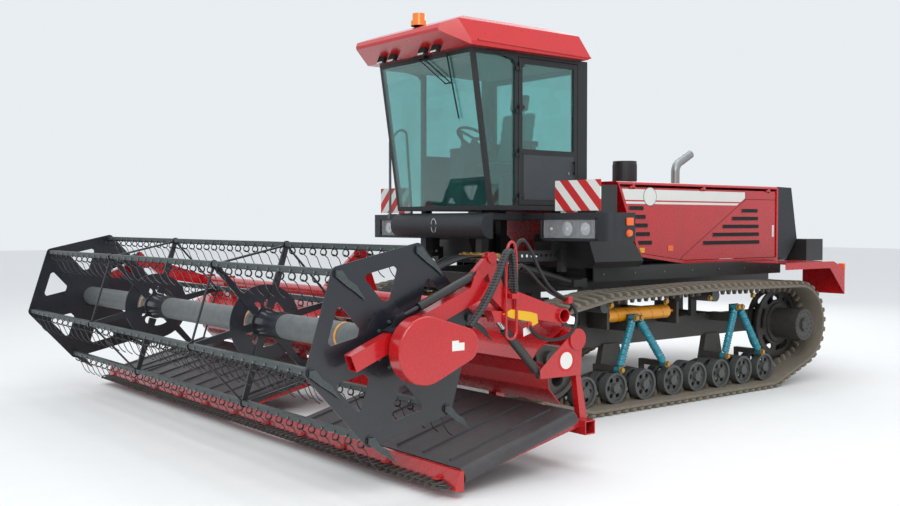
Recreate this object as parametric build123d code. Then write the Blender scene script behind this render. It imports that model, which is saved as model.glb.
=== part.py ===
from build123d import *
import math
import os

os.makedirs("parts", exist_ok=True)

# Tracked self-propelled windrower with a draper header and a six-bat pickup reel.
# Millimetres. +X is forward, +Y is the driver's left, +Z is up.
# The origin lies on the ground, under the middle of the machine's length and width.

# ---------------------------------------------------------------- driving dimensions
# Clearances
seat_gap = 0.3            # between pieces that rest on each other but are not one piece
pin_clearance = 0.1       # radial, between a pin or shaft and its bore
panel_gap = 6             # round a door or a hinged panel

# Tracks and rollers
track_outer_y = 1720
track_width = 500
belt_thickness = 70
roller_radius = 147
roller_width = 240
front_bogie_x = 482       # foremost road roller
front_bogie_pitch = 411
rear_bogie_x = -1124
rear_bogie_pitch = 380
rollers_per_bogie = 4
sprocket_x = -2750
sprocket_z = 655
sprocket_wrap_radius = 475
sprocket_disc_radius = 377
final_drive_radius = 168
final_drive_outer_y = 1752
idler_x = 920
idler_z = 560
idler_wrap_radius = 440
carrier_x = (230, -1410)
carrier_wrap_z = (1119, 1149)
carrier_radius = 60

# Chassis
frame_beam_y = 425
frame_beam_width = 150
frame_beam_height = 250
frame_top_z = 1310
frame_front_x = 820
frame_rear_x = -3900
sill_outer_y = 1080
sill_width = 130
sill_front_x = -150
sill_rear_x = -3290
sill_height = 148
frame_wall = 14

# Cab
cab_half_width = 755
cab_bottom_z = 1888
cab_top_z = 3400
cab_rear_x = -386
cab_rear_pillar = 137
cab_b_pillar_rear_x = 560
cab_b_pillar_width = 45
windshield_bottom_x = 906
windshield_top_x = 1138
cab_wall = 45
a_pillar = 42
glass_thickness = 8
door_thickness = 40
door_sill_z = 1935
door_head_z = cab_top_z - 38
door_window_bottom_z = 2480
door_frame_width = 52

# Roof
roof_half_width = 850
roof_rear_x = -335
roof_front_corner_x = 1220
visor_front_x = 1480
visor_half_width = 675
roof_top_z = cab_top_z + 292
roof_wall = 35
beacon_top_z = roof_top_z + 119
beacon_x = 1230

# Hood
hood_half_width = 1000
hood_top_z = 2190
hood_bottom_z = 1328
hood_front_top_x = -574
hood_front_bottom_x = -914
hood_rear_x = -3353
hood_wall = 30
grille_rear_top_x = -3618
grille_rear_bottom_x = -3741

# Front bumper and lights
bumper_radius = 124
bumper_x = 886
bumper_z = 1738
bumper_half_width = 742
light_block_front_x = 480
light_block_rear_x = 150
light_block_inner_y = 960
light_block_outer_y = 1883
light_block_bottom_z = 1597
light_block_top_z = 1858
board_x = 453
board_inner_y = 1156
board_length = 576
board_bottom_z = 1877
board_height = 282

# Header
header_half_width = 3080
header_pivot_x = 900
header_pivot_z = 650
lift_arm_y = 1060
main_tube_x = 1980
main_tube_z = 935
main_tube_radius = 75
end_plate_y = 2958
end_plate_thickness = 8
deck_rear_x = 2070
deck_rear_z = 390
deck_front_x = 3090
deck_front_z = 130
deck_roller_diameter = 107
belt_outer_y = 3060
gap_left_y = 900           # the discharge gap between the two draper belts
gap_right_y = -190
belt_wall = 8
cutter_beam_top_z = 180
cutter_beam_front_x = 3150
cutter_beam_depth = 32
cutter_beam_bottom_z = 46
lift_pin_front = (1180, 1450)
lift_pin_rear = (120, 1180)

# Reel
reel_x = 3450
reel_z = 993
bat_circle_radius = 628
bat_count = 6
first_bat_angle = 107.5
reel_plate_y = 2780
spider_y = 1057
reel_tube_radius = 95
reel_shaft_radius = 30
bat_tube_radius = 20
bat_channel_width = 50
bat_channel_height = 34
blade_drop = 180
blade_reach = 200
reel_disc_radius = 300
plate_thickness = 6

# Reel arms
arm_pivot_x = 2108
arm_pivot_z = 1110
arm_y = 2900
arm_width = 80
arm_depth = 110
arm_slope = 22            # degrees below level, towards the front
arm_tip_x = 3860
arm_tip_z = 912
arm_elbow_x = 2790
cross_tube_radius = 52
reel_pin_low = (2290, 700)
reel_pin_high = (2700, 1118)

# ---------------------------------------------------------------- helpers


def block(x0, x1, y0, y1, z0, z1):
    """A rectangular block between two corners."""
    middle = Pos((x0 + x1) / 2, (y0 + y1) / 2, (z0 + z1) / 2)
    return middle * Box(abs(x1 - x0), abs(y1 - y0), abs(z1 - z0))


def side_plate(points, y0, y1):
    """A plate whose outline is drawn in the side view, between two Y stations."""
    face = Plane.XZ * make_face(Polyline(*points, close=True))
    return Pos(0, max(y0, y1), 0) * extrude(face, abs(y1 - y0))


def side_face_plate(sketch, y0, y1):
    """The same for a ready sketch, whose own X and Y are the machine's X and Z."""
    return Pos(0, max(y0, y1), 0) * extrude(Plane.XZ * sketch, abs(y1 - y0))


def rod(start, end, radius):
    """A round bar between two points."""
    a, b = Vector(*start), Vector(*end)
    placed = Plane(origin=a, z_dir=b - a)
    return placed * Cylinder(radius, (b - a).length, align=(Align.CENTER, Align.CENTER, Align.MIN))


def cross_bar(x, z, y0, y1, radius):
    """A round bar that runs across the machine."""
    return rod((x, min(y0, y1), z), (x, max(y0, y1), z), radius)


def cross_pipe(x, z, y0, y1, radius, bore):
    return cross_bar(x, z, y0, y1, radius) - cross_bar(x, z, min(y0, y1) - 1, max(y0, y1) + 1, bore)


def box_tube(x0, x1, y0, y1, z0, z1, wall, along="x"):
    """A rectangular tube with open ends."""
    outer = block(x0, x1, y0, y1, z0, z1)
    if along == "x":
        return outer - block(x0 - 1, x1 + 1, y0 + wall, y1 - wall, z0 + wall, z1 - wall)
    return outer - block(x0 + wall, x1 - wall, y0 - 1, y1 + 1, z0 + wall, z1 - wall)


def both_sides(shape):
    """The piece and its mirror image on the machine's other side."""
    return [shape, mirror(shape, about=Plane.XZ)]


def joined(shapes):
    result = shapes[0]
    for shape in shapes[1:]:
        result = result + shape
    return result


def polar(radius, degrees, cx=0.0, cz=0.0):
    angle = math.radians(degrees)
    return (cx + radius * math.cos(angle), cz + radius * math.sin(angle))


def write(name, *shapes):
    """One STEP file for one named piece."""
    solids = [solid for shape in shapes for solid in shape.solids()]
    export_step(Compound(children=solids), f"parts/{name}.step")


# ---------------------------------------------------------------- tracks
track_inner_y = track_outer_y - track_width
roller_z = roller_radius + belt_thickness
roller_x = [front_bogie_x - i * front_bogie_pitch for i in range(rollers_per_bogie)]
roller_x += [rear_bogie_x - i * rear_bogie_pitch for i in range(rollers_per_bogie)]
carrier_z = [top - belt_thickness - carrier_radius for top in carrier_wrap_z]
wheel_outer_y = track_outer_y - 130
wheel_inner_y = wheel_outer_y - roller_width

# Each wheel that the belt goes round: x, z and its own radius.
wrap_wheels = [
    (sprocket_x, sprocket_z, sprocket_wrap_radius - belt_thickness),
    (idler_x, idler_z, idler_wrap_radius - belt_thickness),
    (roller_x[0], roller_z, roller_radius),
    (roller_x[-1], roller_z, roller_radius),
    (carrier_x[0], carrier_z[0], carrier_radius),
    (carrier_x[1], carrier_z[1], carrier_radius),
]


def belt_outline(extra):
    """The taut loop round all the wheels, at a distance outside them."""
    circles = [Pos(x, z) * Circle(r + extra) for x, z, r in wrap_wheels]
    edges = [edge for circle in circles for edge in circle.edges()]
    return make_hull(edges)


track_face = belt_outline(belt_thickness) - belt_outline(0)
track_left = side_face_plate(track_face, track_inner_y, track_outer_y)
write("tracks", *both_sides(track_left))


def road_roller(x):
    """A spoked twin roller: two rims, two six-window discs and the hub between."""
    z = roller_z
    r = roller_radius - seat_gap
    tyre_width = 85
    body = Sketch() + Circle(r) - Circle(r - 24)
    web = Circle(r - 20)
    for i in range(6):
        web -= Rot(0, 0, 60 * i) * Pos(82, 0) * Circle(24)
    near = side_face_plate(Pos(x, z) * body, wheel_outer_y - tyre_width, wheel_outer_y)
    far = side_face_plate(Pos(x, z) * body, wheel_inner_y, wheel_inner_y + tyre_width)
    near_web = side_face_plate(Pos(x, z) * web, wheel_outer_y - 40, wheel_outer_y - 24)
    far_web = side_face_plate(Pos(x, z) * web, wheel_inner_y + 24, wheel_inner_y + 40)
    hub = cross_bar(x, z, bogie_outer_y + seat_gap, wheel_outer_y + 12, 46)
    return near + far + near_web + far_web + hub


beam_inner_y = track_inner_y - 20
beam_outer_y = beam_inner_y + 110
bogie_outer_y = wheel_inner_y - 14
bogie_plate = 24


def carrier_roller(x, z):
    return cross_bar(x, z, beam_outer_y + seat_gap, wheel_outer_y, carrier_radius - seat_gap)


rollers_left = [road_roller(x) for x in roller_x]
rollers_left += [carrier_roller(x, z) for x, z in zip(carrier_x, carrier_z)]
write("road_rollers", *[piece for roller in rollers_left for piece in both_sides(roller)])


def sprocket():
    """A slotted disc on the final drive's drum."""
    disc = Sketch() + Circle(sprocket_disc_radius)
    slot = SlotArc(CenterArc((0, 0), 285, -17, 34), 62)
    for i in range(6):
        disc -= Rot(0, 0, 60 * i + 12) * slot
    placed = Pos(sprocket_x, sprocket_z) * disc
    outer = side_face_plate(placed, track_outer_y - 330, track_outer_y - 310)
    inner = side_face_plate(placed, track_outer_y - 450, track_outer_y - 430)
    x, z = sprocket_x, sprocket_z
    drum = cross_bar(x, z, beam_inner_y, final_drive_outer_y, final_drive_radius)
    flange = cross_bar(x, z, track_outer_y - 450, track_outer_y - 290, final_drive_radius + 48)
    cap = cross_bar(x, z, final_drive_outer_y, final_drive_outer_y + 22, final_drive_radius - 92)
    return drum + flange + outer + inner + cap


write("drive_sprockets", *both_sides(sprocket()))


def idler():
    """A spoked front wheel as wide as the rollers."""
    r = idler_wrap_radius - belt_thickness - seat_gap
    rim = Sketch() + Circle(r) - Circle(r - 40)
    web = Circle(r - 30)
    for i in range(6):
        web -= Rot(0, 0, 60 * i) * Pos(215, 0) * Circle(72)
    placed = Pos(idler_x, idler_z)
    outer_rim = side_face_plate(placed * rim, wheel_outer_y - 90, wheel_outer_y)
    inner_rim = side_face_plate(placed * rim, wheel_inner_y, wheel_inner_y + 90)
    outer_web = side_face_plate(placed * web, wheel_outer_y - 50, wheel_outer_y - 28)
    inner_web = side_face_plate(placed * web, wheel_inner_y + 28, wheel_inner_y + 50)
    hub = cross_bar(idler_x, idler_z, beam_outer_y + seat_gap, wheel_outer_y + 15, 70)
    return outer_rim + inner_rim + outer_web + inner_web + hub


write("front_idlers", *both_sides(idler()))

# ---------------------------------------------------------------- track frames
beam_bottom_z = 580
beam_top_z = 800
beam_front_x = idler_x + 60
beam_rear_x = sprocket_x + 400
shock_y = track_outer_y - 104
shock_radius = 34
shock_mount_y = shock_y - shock_radius - 4
shock_tops = ((-125, 870), (-195, 870), (-1695, 893), (-1765, 893))
shock_feet = ((70, 396), (-580, 396), (-1520, 400), (-2120, 396))
tensioner_z = 895
tensioner_front_x = 133
tensioner_rear_x = -735
tensioner_radius = 68
tensioner_y = track_outer_y - 225


def track_frame():
    """The side beam, its two bogie plates, the wheel stubs and the upper brackets."""
    beam = block(beam_rear_x, beam_front_x, beam_inner_y, beam_outer_y, beam_bottom_z, beam_top_z)
    hollow_y0 = beam_inner_y + frame_wall
    hollow_y1 = beam_outer_y - frame_wall
    hollow = block(beam_rear_x - 1, beam_front_x + 1, hollow_y0, hollow_y1,
                   beam_bottom_z + frame_wall, beam_top_z - frame_wall)
    frame = beam - hollow
    bogie_y0 = bogie_outer_y - bogie_plate
    for xs in (roller_x[:rollers_per_bogie], roller_x[rollers_per_bogie:]):
        middle = (xs[0] + xs[-1]) / 2
        outline = [(xs[0] + 90, 200), (xs[0] + 90, 270), (middle + 260, 350), (middle - 260, 350),
                   (xs[-1] - 90, 270), (xs[-1] - 90, 200)]
        frame += side_plate(outline, bogie_y0, bogie_outer_y)
        leg = [(middle + 170, 340), (middle + 110, 600), (middle - 110, 600), (middle - 170, 340)]
        frame += side_plate(leg, beam_outer_y - 40, bogie_outer_y)
    # Front fork to the idler, rear bracket to the drum, posts for the carrier rollers
    frame += cross_bar(idler_x, idler_z, beam_inner_y, beam_outer_y, 95)
    neck = [(beam_rear_x + 20, beam_bottom_z), (beam_rear_x + 20, beam_top_z),
            (sprocket_x, sprocket_z + 150), (sprocket_x, sprocket_z - 150)]
    frame += side_plate(neck, beam_inner_y, beam_inner_y + 30)
    frame -= cross_bar(sprocket_x, sprocket_z, beam_inner_y - 1, beam_outer_y, final_drive_radius)
    for x, z in zip(carrier_x, carrier_z):
        frame += block(x - 45, x + 45, beam_outer_y - 40, beam_outer_y, beam_top_z - 10, z + 45)
    # Brackets for the belt tensioner
    for x in (tensioner_front_x, tensioner_rear_x - 130):
        frame += block(x, x + 32, beam_outer_y - 40, tensioner_y + 60, beam_top_z - 30, tensioner_z + 90)
    # Shock mounts: an upper plate on a shelf that passes under the tensioner, and arms on the bogies
    for i in (0, 2):
        middle = (shock_tops[i][0] + shock_tops[i + 1][0]) / 2
        top = shock_tops[i][1]
        shelf_top = tensioner_z - tensioner_radius - 6
        frame += block(middle - 70, middle + 70, beam_outer_y - 40, shock_mount_y, beam_top_z - 60, shelf_top)
        frame += block(middle - 75, middle + 75, shock_mount_y - 12, shock_mount_y, beam_top_z - 60, top + 30)
    for x, z in shock_feet:
        frame += block(x - 30, x + 30, bogie_y0, shock_mount_y, roller_z + roller_radius + 6, z + 26)
        frame += block(x - 30, x + 30, bogie_y0, bogie_outer_y, 300, z + 26)
    return frame


def shock(top, foot):
    """A coil-over shock absorber as a closed cylinder with an eye at each end."""
    y = shock_y
    a, b = Vector(top[0], y, top[1]), Vector(foot[0], y, foot[1])
    run = (b - a).normalized()
    body = rod(tuple(a + run * 40), tuple(b - run * 40), shock_radius)
    stem = rod(tuple(a), tuple(b), 14)
    eye_y = shock_mount_y + seat_gap
    eyes = cross_bar(a.X, a.Z, eye_y, y + 20, 26) + cross_bar(b.X, b.Z, eye_y, y + 20, 26)
    return body + stem + eyes


write("track_frames", *both_sides(track_frame()))


def tensioner():
    """A fat cylinder that pushes the idler forward, with its rod towards the rear."""
    y, z = tensioner_y, tensioner_z
    x0 = tensioner_rear_x
    barrel = rod((x0, y, z), (tensioner_front_x - seat_gap, y, z), tensioner_radius)
    stem = rod((x0 - 98 + seat_gap, y, z), (x0 + 5, y, z), 16)
    return barrel + stem


shocks = [shock(top, foot) for top, foot in zip(shock_tops, shock_feet)]
write("shock_absorbers", *[piece for one in shocks for piece in both_sides(one)])
write("track_tensioners", *both_sides(tensioner()))

# ---------------------------------------------------------------- chassis frame
frame_bottom_z = frame_top_z - frame_beam_height
sill_top_z = hood_bottom_z - seat_gap
sill_bottom_z = sill_top_z - sill_height
sill_inner_y = sill_outer_y - sill_width
cross_radius = 80
axle_front_x = 60
axle_rear_x = -2200
axle_z = (beam_bottom_z + beam_top_z) / 2
pedestal_top_z = cab_bottom_z - 28
pedestal_y = 450


def main_frame():
    """Two long box beams, side sills, the axle tubes and the legs under the cab."""
    half = frame_beam_width / 2
    left = box_tube(frame_rear_x, frame_front_x, frame_beam_y - half, frame_beam_y + half,
                    frame_bottom_z, frame_top_z, frame_wall)
    left += box_tube(sill_rear_x, sill_front_x, sill_inner_y, sill_outer_y,
                     sill_bottom_z, sill_top_z, frame_wall)
    # Cross members between the beam and the sill
    for x in (sill_front_x - 60, -1600, sill_rear_x + 60):
        left += block(x - 40, x + 40, frame_beam_y + half - 5, sill_inner_y + 5, sill_bottom_z + 20, frame_top_z - 20)
    # Hangers from the beam down to the two axle tubes
    for x in (axle_front_x, axle_rear_x):
        left += block(x - 70, x + 70, frame_beam_y - 50, frame_beam_y + 50, axle_z, frame_bottom_z + 5)
    # Front outrigger with the ears for the header's pivot and for the lift cylinder
    left += block(header_pivot_x - 340, header_pivot_x - 240, frame_beam_y - 50, lift_arm_y + 62,
                  header_pivot_z - 80, header_pivot_z + 80)
    left += block(header_pivot_x - 340, header_pivot_x - 240, frame_beam_y - 50, frame_beam_y + 50,
                  header_pivot_z - 80, frame_bottom_z + 5)
    for y in (lift_arm_y - 62, lift_arm_y + 32):
        ear = [(header_pivot_x - 260, header_pivot_z - 70), (header_pivot_x + 40, header_pivot_z - 50),
               (header_pivot_x + 40, header_pivot_z + 50), (header_pivot_x - 260, header_pivot_z + 70)]
        left += side_plate(ear, y, y + 30)
    left -= cross_bar(header_pivot_x, header_pivot_z, lift_arm_y - 70, lift_arm_y + 70, 30)
    left += cross_bar(header_pivot_x, header_pivot_z, lift_arm_y - 62, lift_arm_y + 62, 30)
    rear_x, rear_z = lift_pin_rear
    left += block(rear_x - 150, rear_x - 90, frame_beam_y, lift_arm_y + 48, rear_z - 45, rear_z + 45)
    for y in (lift_arm_y - 48, lift_arm_y + 28):
        left += block(rear_x - 95, rear_x + 30, y, y + 20, rear_z - 35, rear_z + 35)
    left += cross_bar(rear_x, rear_z, lift_arm_y - 48, lift_arm_y + 48, 14)
    # Legs and rail that carry the cab
    for x in (frame_front_x - 110, cab_rear_x + 60):
        left += block(x, x + 90, pedestal_y - 45, pedestal_y + 45, frame_top_z - 5, pedestal_top_z)
    left += block(cab_rear_x + 60, frame_front_x - 20, pedestal_y - 45, pedestal_y + 45,
                  pedestal_top_z - 70, pedestal_top_z)
    frame = left + mirror(left, about=Plane.XZ)
    for x in (axle_front_x, axle_rear_x):
        frame += cross_pipe(x, axle_z, -beam_inner_y, beam_inner_y, cross_radius, cross_radius - 16)
    for x in (frame_front_x - 60, -900, -2300, frame_rear_x + 60):
        frame += block(x - 50, x + 50, -frame_beam_y, frame_beam_y, frame_bottom_z + 40, frame_top_z - 40)
    for x in (frame_front_x - 65, cab_rear_x + 105):
        frame += block(x - 45, x + 45, -pedestal_y, pedestal_y, pedestal_top_z - 70, pedestal_top_z)
    return frame


write("main_frame", main_frame())

# ---------------------------------------------------------------- cab
lean = (windshield_top_x - windshield_bottom_x) / (cab_top_z - cab_bottom_z)


def screen_x(z, inset=0):
    """Where the leaning front face stands at a height, less an inset."""
    return windshield_bottom_x + (z - cab_bottom_z) * lean - inset


def cab_outline(inset):
    low, high = cab_bottom_z + inset, cab_top_z - inset
    return [(cab_rear_x + inset, low), (screen_x(low, inset), low),
            (screen_x(high, inset), high), (cab_rear_x + inset, high)]


door_front_x = cab_b_pillar_rear_x
door_rear_x = cab_rear_x + cab_rear_pillar
quarter_rear_x = cab_b_pillar_rear_x + cab_b_pillar_width
sill_z = cab_bottom_z + cab_wall
head_z = cab_top_z - cab_wall
rear_window_bottom_z = 2440


def door_opening(grow=0):
    return block(door_rear_x - grow, door_front_x + grow, 0, cab_half_width + 60,
                 door_sill_z - grow, door_head_z + grow)


def quarter_opening():
    """The side window between the windshield and the door pillar."""
    outline = [(quarter_rear_x, sill_z), (screen_x(sill_z, a_pillar), sill_z),
               (screen_x(head_z, a_pillar), head_z), (quarter_rear_x, head_z)]
    return side_plate(outline, 0, cab_half_width + 60)


def screen_opening():
    """The whole front face between the corner posts."""
    outline = [(screen_x(sill_z, 200), sill_z), (screen_x(sill_z, -60), sill_z),
               (screen_x(head_z, -60), head_z), (screen_x(head_z, 200), head_z)]
    return side_plate(outline, -cab_half_width + a_pillar, cab_half_width - a_pillar)


def rear_opening():
    half = cab_half_width - 110
    return block(cab_rear_x - 60, cab_rear_x + 200, -half, half, rear_window_bottom_z, head_z - 60)


def cab_frame():
    shell = side_plate(cab_outline(0), -cab_half_width, cab_half_width)
    inner_half = cab_half_width - cab_wall
    shell -= side_plate(cab_outline(cab_wall), -inner_half, inner_half)
    shell -= door_opening()
    shell -= quarter_opening()
    shell -= mirror(quarter_opening(), about=Plane.XZ)
    shell -= screen_opening()
    shell -= rear_opening()
    # The right side has a fixed window above a plain panel.
    window = block(door_rear_x, door_front_x, -cab_half_width - 60, 0, door_window_bottom_z, door_head_z)
    shell -= window
    # Hinge leaves with their pins, on the door pillar
    for z in hinge_heights:
        shell += block(door_hinge_x, door_hinge_x + 50, cab_half_width, door_hinge_y, z - 40, z - 2)
        shell += rod((door_hinge_x, door_hinge_y, z - 40), (door_hinge_x, door_hinge_y, z - 2), 13)
        shell += rod((door_hinge_x, door_hinge_y, z - 3), (door_hinge_x, door_hinge_y, z + 38), 7)
    # Feet on the chassis rails
    for x in (cab_rear_x + 105, frame_front_x - 65):
        for y in (-pedestal_y, pedestal_y):
            shell += block(x - 40, x + 40, y - 40, y + 40, pedestal_top_z, cab_bottom_z + 5)
    return shell


door_hinge_x = door_front_x - 12
door_hinge_y = cab_half_width + 14
hinge_heights = (2010, 2440, 2860, 3270)
write("cab_frame", cab_frame())

screen_slab = [(screen_x(z, inset), z) for z, inset in
               ((cab_bottom_z, glass_thickness), (cab_bottom_z, 0), (cab_top_z, 0), (cab_top_z, glass_thickness))]
windshield = side_plate(screen_slab, -cab_half_width, cab_half_width) & screen_opening()

side_slab = block(cab_rear_x, windshield_top_x, cab_half_width - 20, cab_half_width - 20 + glass_thickness,
                  cab_bottom_z, cab_top_z)
quarter_glass = side_slab & quarter_opening()
right_window = mirror(side_slab, about=Plane.XZ) & block(
    door_rear_x, door_front_x, -cab_half_width - 60, 0, door_window_bottom_z, door_head_z)
rear_glass = rear_opening() & block(cab_rear_x + 12, cab_rear_x + 12 + glass_thickness,
                                    -cab_half_width, cab_half_width, cab_bottom_z, cab_top_z)
write("cab_glass", windshield, *both_sides(quarter_glass), right_window, rear_glass)


def cab_door():
    """A framed door: a sheet panel below, a window above, knuckles on the front edge."""
    x0, x1 = door_rear_x + panel_gap, door_front_x - panel_gap
    y0, y1 = cab_half_width - door_thickness, cab_half_width
    z0, z1 = door_sill_z + panel_gap, door_head_z - panel_gap
    door = block(x0, x1, y0, y1, z0, z1)
    door -= door_window(-1)
    for z in hinge_heights:
        door += block(door_hinge_x - 60, door_hinge_x, cab_half_width - 5, door_hinge_y, z + 2, z + 40)
        door += rod((door_hinge_x, door_hinge_y, z + 2), (door_hinge_x, door_hinge_y, z + 40), 13)
        door -= rod((door_hinge_x, door_hinge_y, z - 5), (door_hinge_x, door_hinge_y, z + 41), 7 + pin_clearance)
    # Outside handle near the rear edge
    door += block(x0 + 35, x0 + 60, y1, y1 + 32, 2250, 2380) - block(x0 + 30, x0 + 70, y1, y1 + 20, 2270, 2360)
    return door


def door_window(grow):
    edge = door_frame_width + grow
    return block(door_rear_x + panel_gap + edge, door_front_x - panel_gap - edge, 0, cab_half_width + 20,
                 door_window_bottom_z + grow, door_head_z - panel_gap - edge)


write("cab_door", cab_door())
pane_y = cab_half_width - door_thickness / 2
write("door_glass", door_window(-1) & block(door_rear_x, door_front_x, pane_y, pane_y + glass_thickness,
                                            cab_bottom_z, cab_top_z))


def cab_roof():
    """A hollow cap with a raked visor; its underside lies on the cab."""
    side = [(roof_rear_x, cab_top_z + 22), (roof_rear_x + 100, 3642), (roof_rear_x + 430, roof_top_z),
            (1180, roof_top_z), (visor_front_x - 25, 3590), (visor_front_x, 3548), (visor_front_x - 10, 3520),
            (roof_front_corner_x, cab_top_z), (roof_rear_x + 40, cab_top_z)]
    plan = [(roof_rear_x - 5, -roof_half_width), (roof_front_corner_x, -roof_half_width),
            (visor_front_x + 5, -visor_half_width), (visor_front_x + 5, visor_half_width),
            (roof_front_corner_x, roof_half_width), (roof_rear_x - 5, roof_half_width)]
    body = side_plate(side, -roof_half_width, roof_half_width)
    body = body & (Pos(0, 0, cab_top_z - 20) * extrude(make_face(Polyline(*plan, close=True)), 500))
    cross = [(-roof_half_width, cab_top_z - 10), (-roof_half_width, cab_top_z + 40),
             (-roof_half_width + 70, 3640), (-roof_half_width + 190, roof_top_z + 5),
             (roof_half_width - 190, roof_top_z + 5), (roof_half_width - 70, 3640),
             (roof_half_width, cab_top_z + 40), (roof_half_width, cab_top_z - 10)]
    profile = Plane.YZ * make_face(Polyline(*cross, close=True))
    body = body & (Pos(roof_rear_x - 50, 0, 0) * extrude(profile, visor_front_x - roof_rear_x + 100))
    hollow_half = cab_half_width - 20
    hollow = block(roof_rear_x + 110, 1090, -hollow_half + 60, hollow_half - 60, cab_top_z - 1, 3610)
    return body - hollow


write("cab_roof", cab_roof())
beacon_base = rod((beacon_x - 40, 0, roof_top_z - 20), (beacon_x - 40, 0, roof_top_z + 48), 78)
beacon_base -= block(-500, 2000, -200, 200, roof_top_z - 30, roof_top_z)
beacon_lens = rod((beacon_x - 40, 0, roof_top_z + 48), (beacon_x - 40, 0, beacon_top_z), 62)
write("beacon", beacon_base + beacon_lens)


def driver_seat():
    """Suspension box, cushion, backrest and headrest, facing forward."""
    floor = sill_z
    base = block(-60, 260, -180, 180, floor, floor + 330)
    cushion = fillet(block(-110, 400, -250, 250, floor + 330, floor + 450).edges(), 40)
    back_points = [(-120, floor + 430), (10, floor + 430), (-90, floor + 1000), (-190, floor + 1000)]
    back = side_plate(back_points, -235, 235)
    head_points = [(-175, floor + 1000), (-95, floor + 1000), (-115, floor + 1190), (-195, floor + 1190)]
    head = side_plate(head_points, -130, 130)
    rests = [block(-120, 210, s * 285 - 35, s * 285 + 35, floor + 620, floor + 680) for s in (1, -1)]
    links = [block(-120, -60, s * 245 - 40, s * 245 + 40, floor + 500, floor + 640) for s in (1, -1)]
    return joined([base, cushion, back, head] + rests + links)


write("driver_seat", driver_seat())


def driver_controls():
    """Steering pedestal with its wheel, and the side console."""
    floor = sill_z
    post = side_plate([(560, floor), (760, floor), (700, floor + 430), (560, floor + 640),
                       (470, floor + 600), (560, floor + 380)], -110, 110)
    hub = Vector(505, 0, floor + 640)
    tilt = Plane(origin=hub, z_dir=Vector(-0.55, 0, 0.83))
    column = tilt * Cylinder(28, 120)
    wheel_plane = Plane(origin=hub + Vector(-0.55, 0, 0.83) * 62, z_dir=Vector(-0.55, 0, 0.83))
    wheel = wheel_plane * Torus(195, 15)
    spokes = [wheel_plane * Rot(0, 0, a) * Pos(95, 0, 0) * Box(200, 34, 14) for a in (90, 210, 330)]
    console = block(-120, 420, -480, -330, floor, floor + 620)
    lever = rod((300, -405, floor + 615), (330, -405, floor + 800), 16)
    return [joined([post, column, wheel] + spokes), console + lever]


write("driver_controls", *driver_controls())

# ---------------------------------------------------------------- front bumper, lights, boards


def front_bumper():
    """A half-round nose under the windshield, two lamp housings and the platform."""
    nose = cross_bar(bumper_x, bumper_z, -bumper_half_width, bumper_half_width, bumper_radius)
    nose = nose & block(bumper_x, bumper_x + 300, -2000, 2000, 0, 3000)
    nose += block(bumper_x - 20, bumper_x + 5, -bumper_half_width, bumper_half_width,
                  bumper_z - bumper_radius, bumper_z + bumper_radius)
    bracket = block(frame_front_x - 18, bumper_x, pedestal_y - 60, pedestal_y + 60,
                    pedestal_top_z - 90, pedestal_top_z - 20)
    left = block(light_block_rear_x, light_block_front_x, light_block_inner_y, light_block_outer_y,
                 light_block_bottom_z, light_block_top_z)
    left = fillet(left.edges().filter_by(Axis.Z).group_by(Axis.X)[-1], 90)
    left -= lamp_recess(0)
    left += block(light_block_rear_x, light_block_front_x - 60, platform_outer_y - 5, light_block_inner_y + 5,
                  light_block_top_z - 60, light_block_top_z)
    left += block(light_block_rear_x, bumper_x - 15, pedestal_y + 45, platform_outer_y,
                  light_block_top_z - 60, light_block_top_z)
    whole = nose + joined(both_sides(bracket)) + joined(both_sides(left))
    return whole


def lamp_recess(inset):
    """The pocket that the headlamp glass fills."""
    return block(light_block_front_x - 60 + inset, light_block_front_x + 20,
                 headlamp_inner_y + inset, headlamp_outer_y - inset,
                 headlamp_bottom_z + inset, headlamp_top_z - inset)


platform_outer_y = cab_half_width - 75
headlamp_inner_y = 1010
headlamp_outer_y = 1700
headlamp_bottom_z = 1624
headlamp_top_z = 1795
write("front_bumper", front_bumper())
lamp = lamp_recess(seat_gap) & block(0, light_block_front_x - 4, 0, 3000, 0, 3000)
lamp = fillet(lamp.edges().filter_by(Axis.Z).group_by(Axis.X)[-1], 24)
write("headlights", *both_sides(lamp))

board = block(board_x - 16, board_x, board_inner_y, board_inner_y + board_length,
              board_bottom_z, board_bottom_z + board_height)
board_foot = block(board_x - 60, board_x - 15, board_inner_y + 60, board_inner_y + 240,
                   light_block_top_z, board_bottom_z + 30)
write("warning_boards", *both_sides(board + board_foot))


def access_rails():
    """Drilled rails under the platform, on each side of the nose."""
    y0 = light_block_inner_y - 16
    rail = block(150, 860, y0, y0 + 8, 1395, 1500)
    for i in range(11):
        rail -= cross_bar(185 + i * 62, 1452, y0 - 1, y0 + 9, 16)
    post_rear = block(150, 220, y0, y0 + 60, 1290, 1500)
    hanger = block(200, 300, y0, y0 + 8, 1495, light_block_top_z - 60)
    return rail + post_rear + hanger


write("access_rails", *both_sides(access_rails()))

handrail_y = -900
handrail_points = [(905, handrail_y, light_block_top_z), (905, handrail_y, 2640), (790, handrail_y, 2760),
                   (690, handrail_y, 2760), (620, handrail_y, light_block_top_z)]


def handrail():
    path = FilletPolyline(*handrail_points, radius=55)
    ring = Plane(origin=path @ 0, z_dir=path % 0) * Circle(14)
    rail = sweep(ring, path=path)
    foot_bar = block(600, 925, handrail_y - 20, handrail_y + 20, light_block_top_z - 45, light_block_top_z + 2)
    arm = block(600, 640, handrail_y, -platform_outer_y - seat_gap, light_block_top_z - 45, light_block_top_z - 5)
    return rail + foot_bar + arm


write("handrail", handrail())

# ---------------------------------------------------------------- hood, tanks and rear pieces
hood_mid_bottom_x = -1615
hood_front_low_z = 1415
grille_bottom_z = 1577
grille_rear_low_x = -3401


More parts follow.
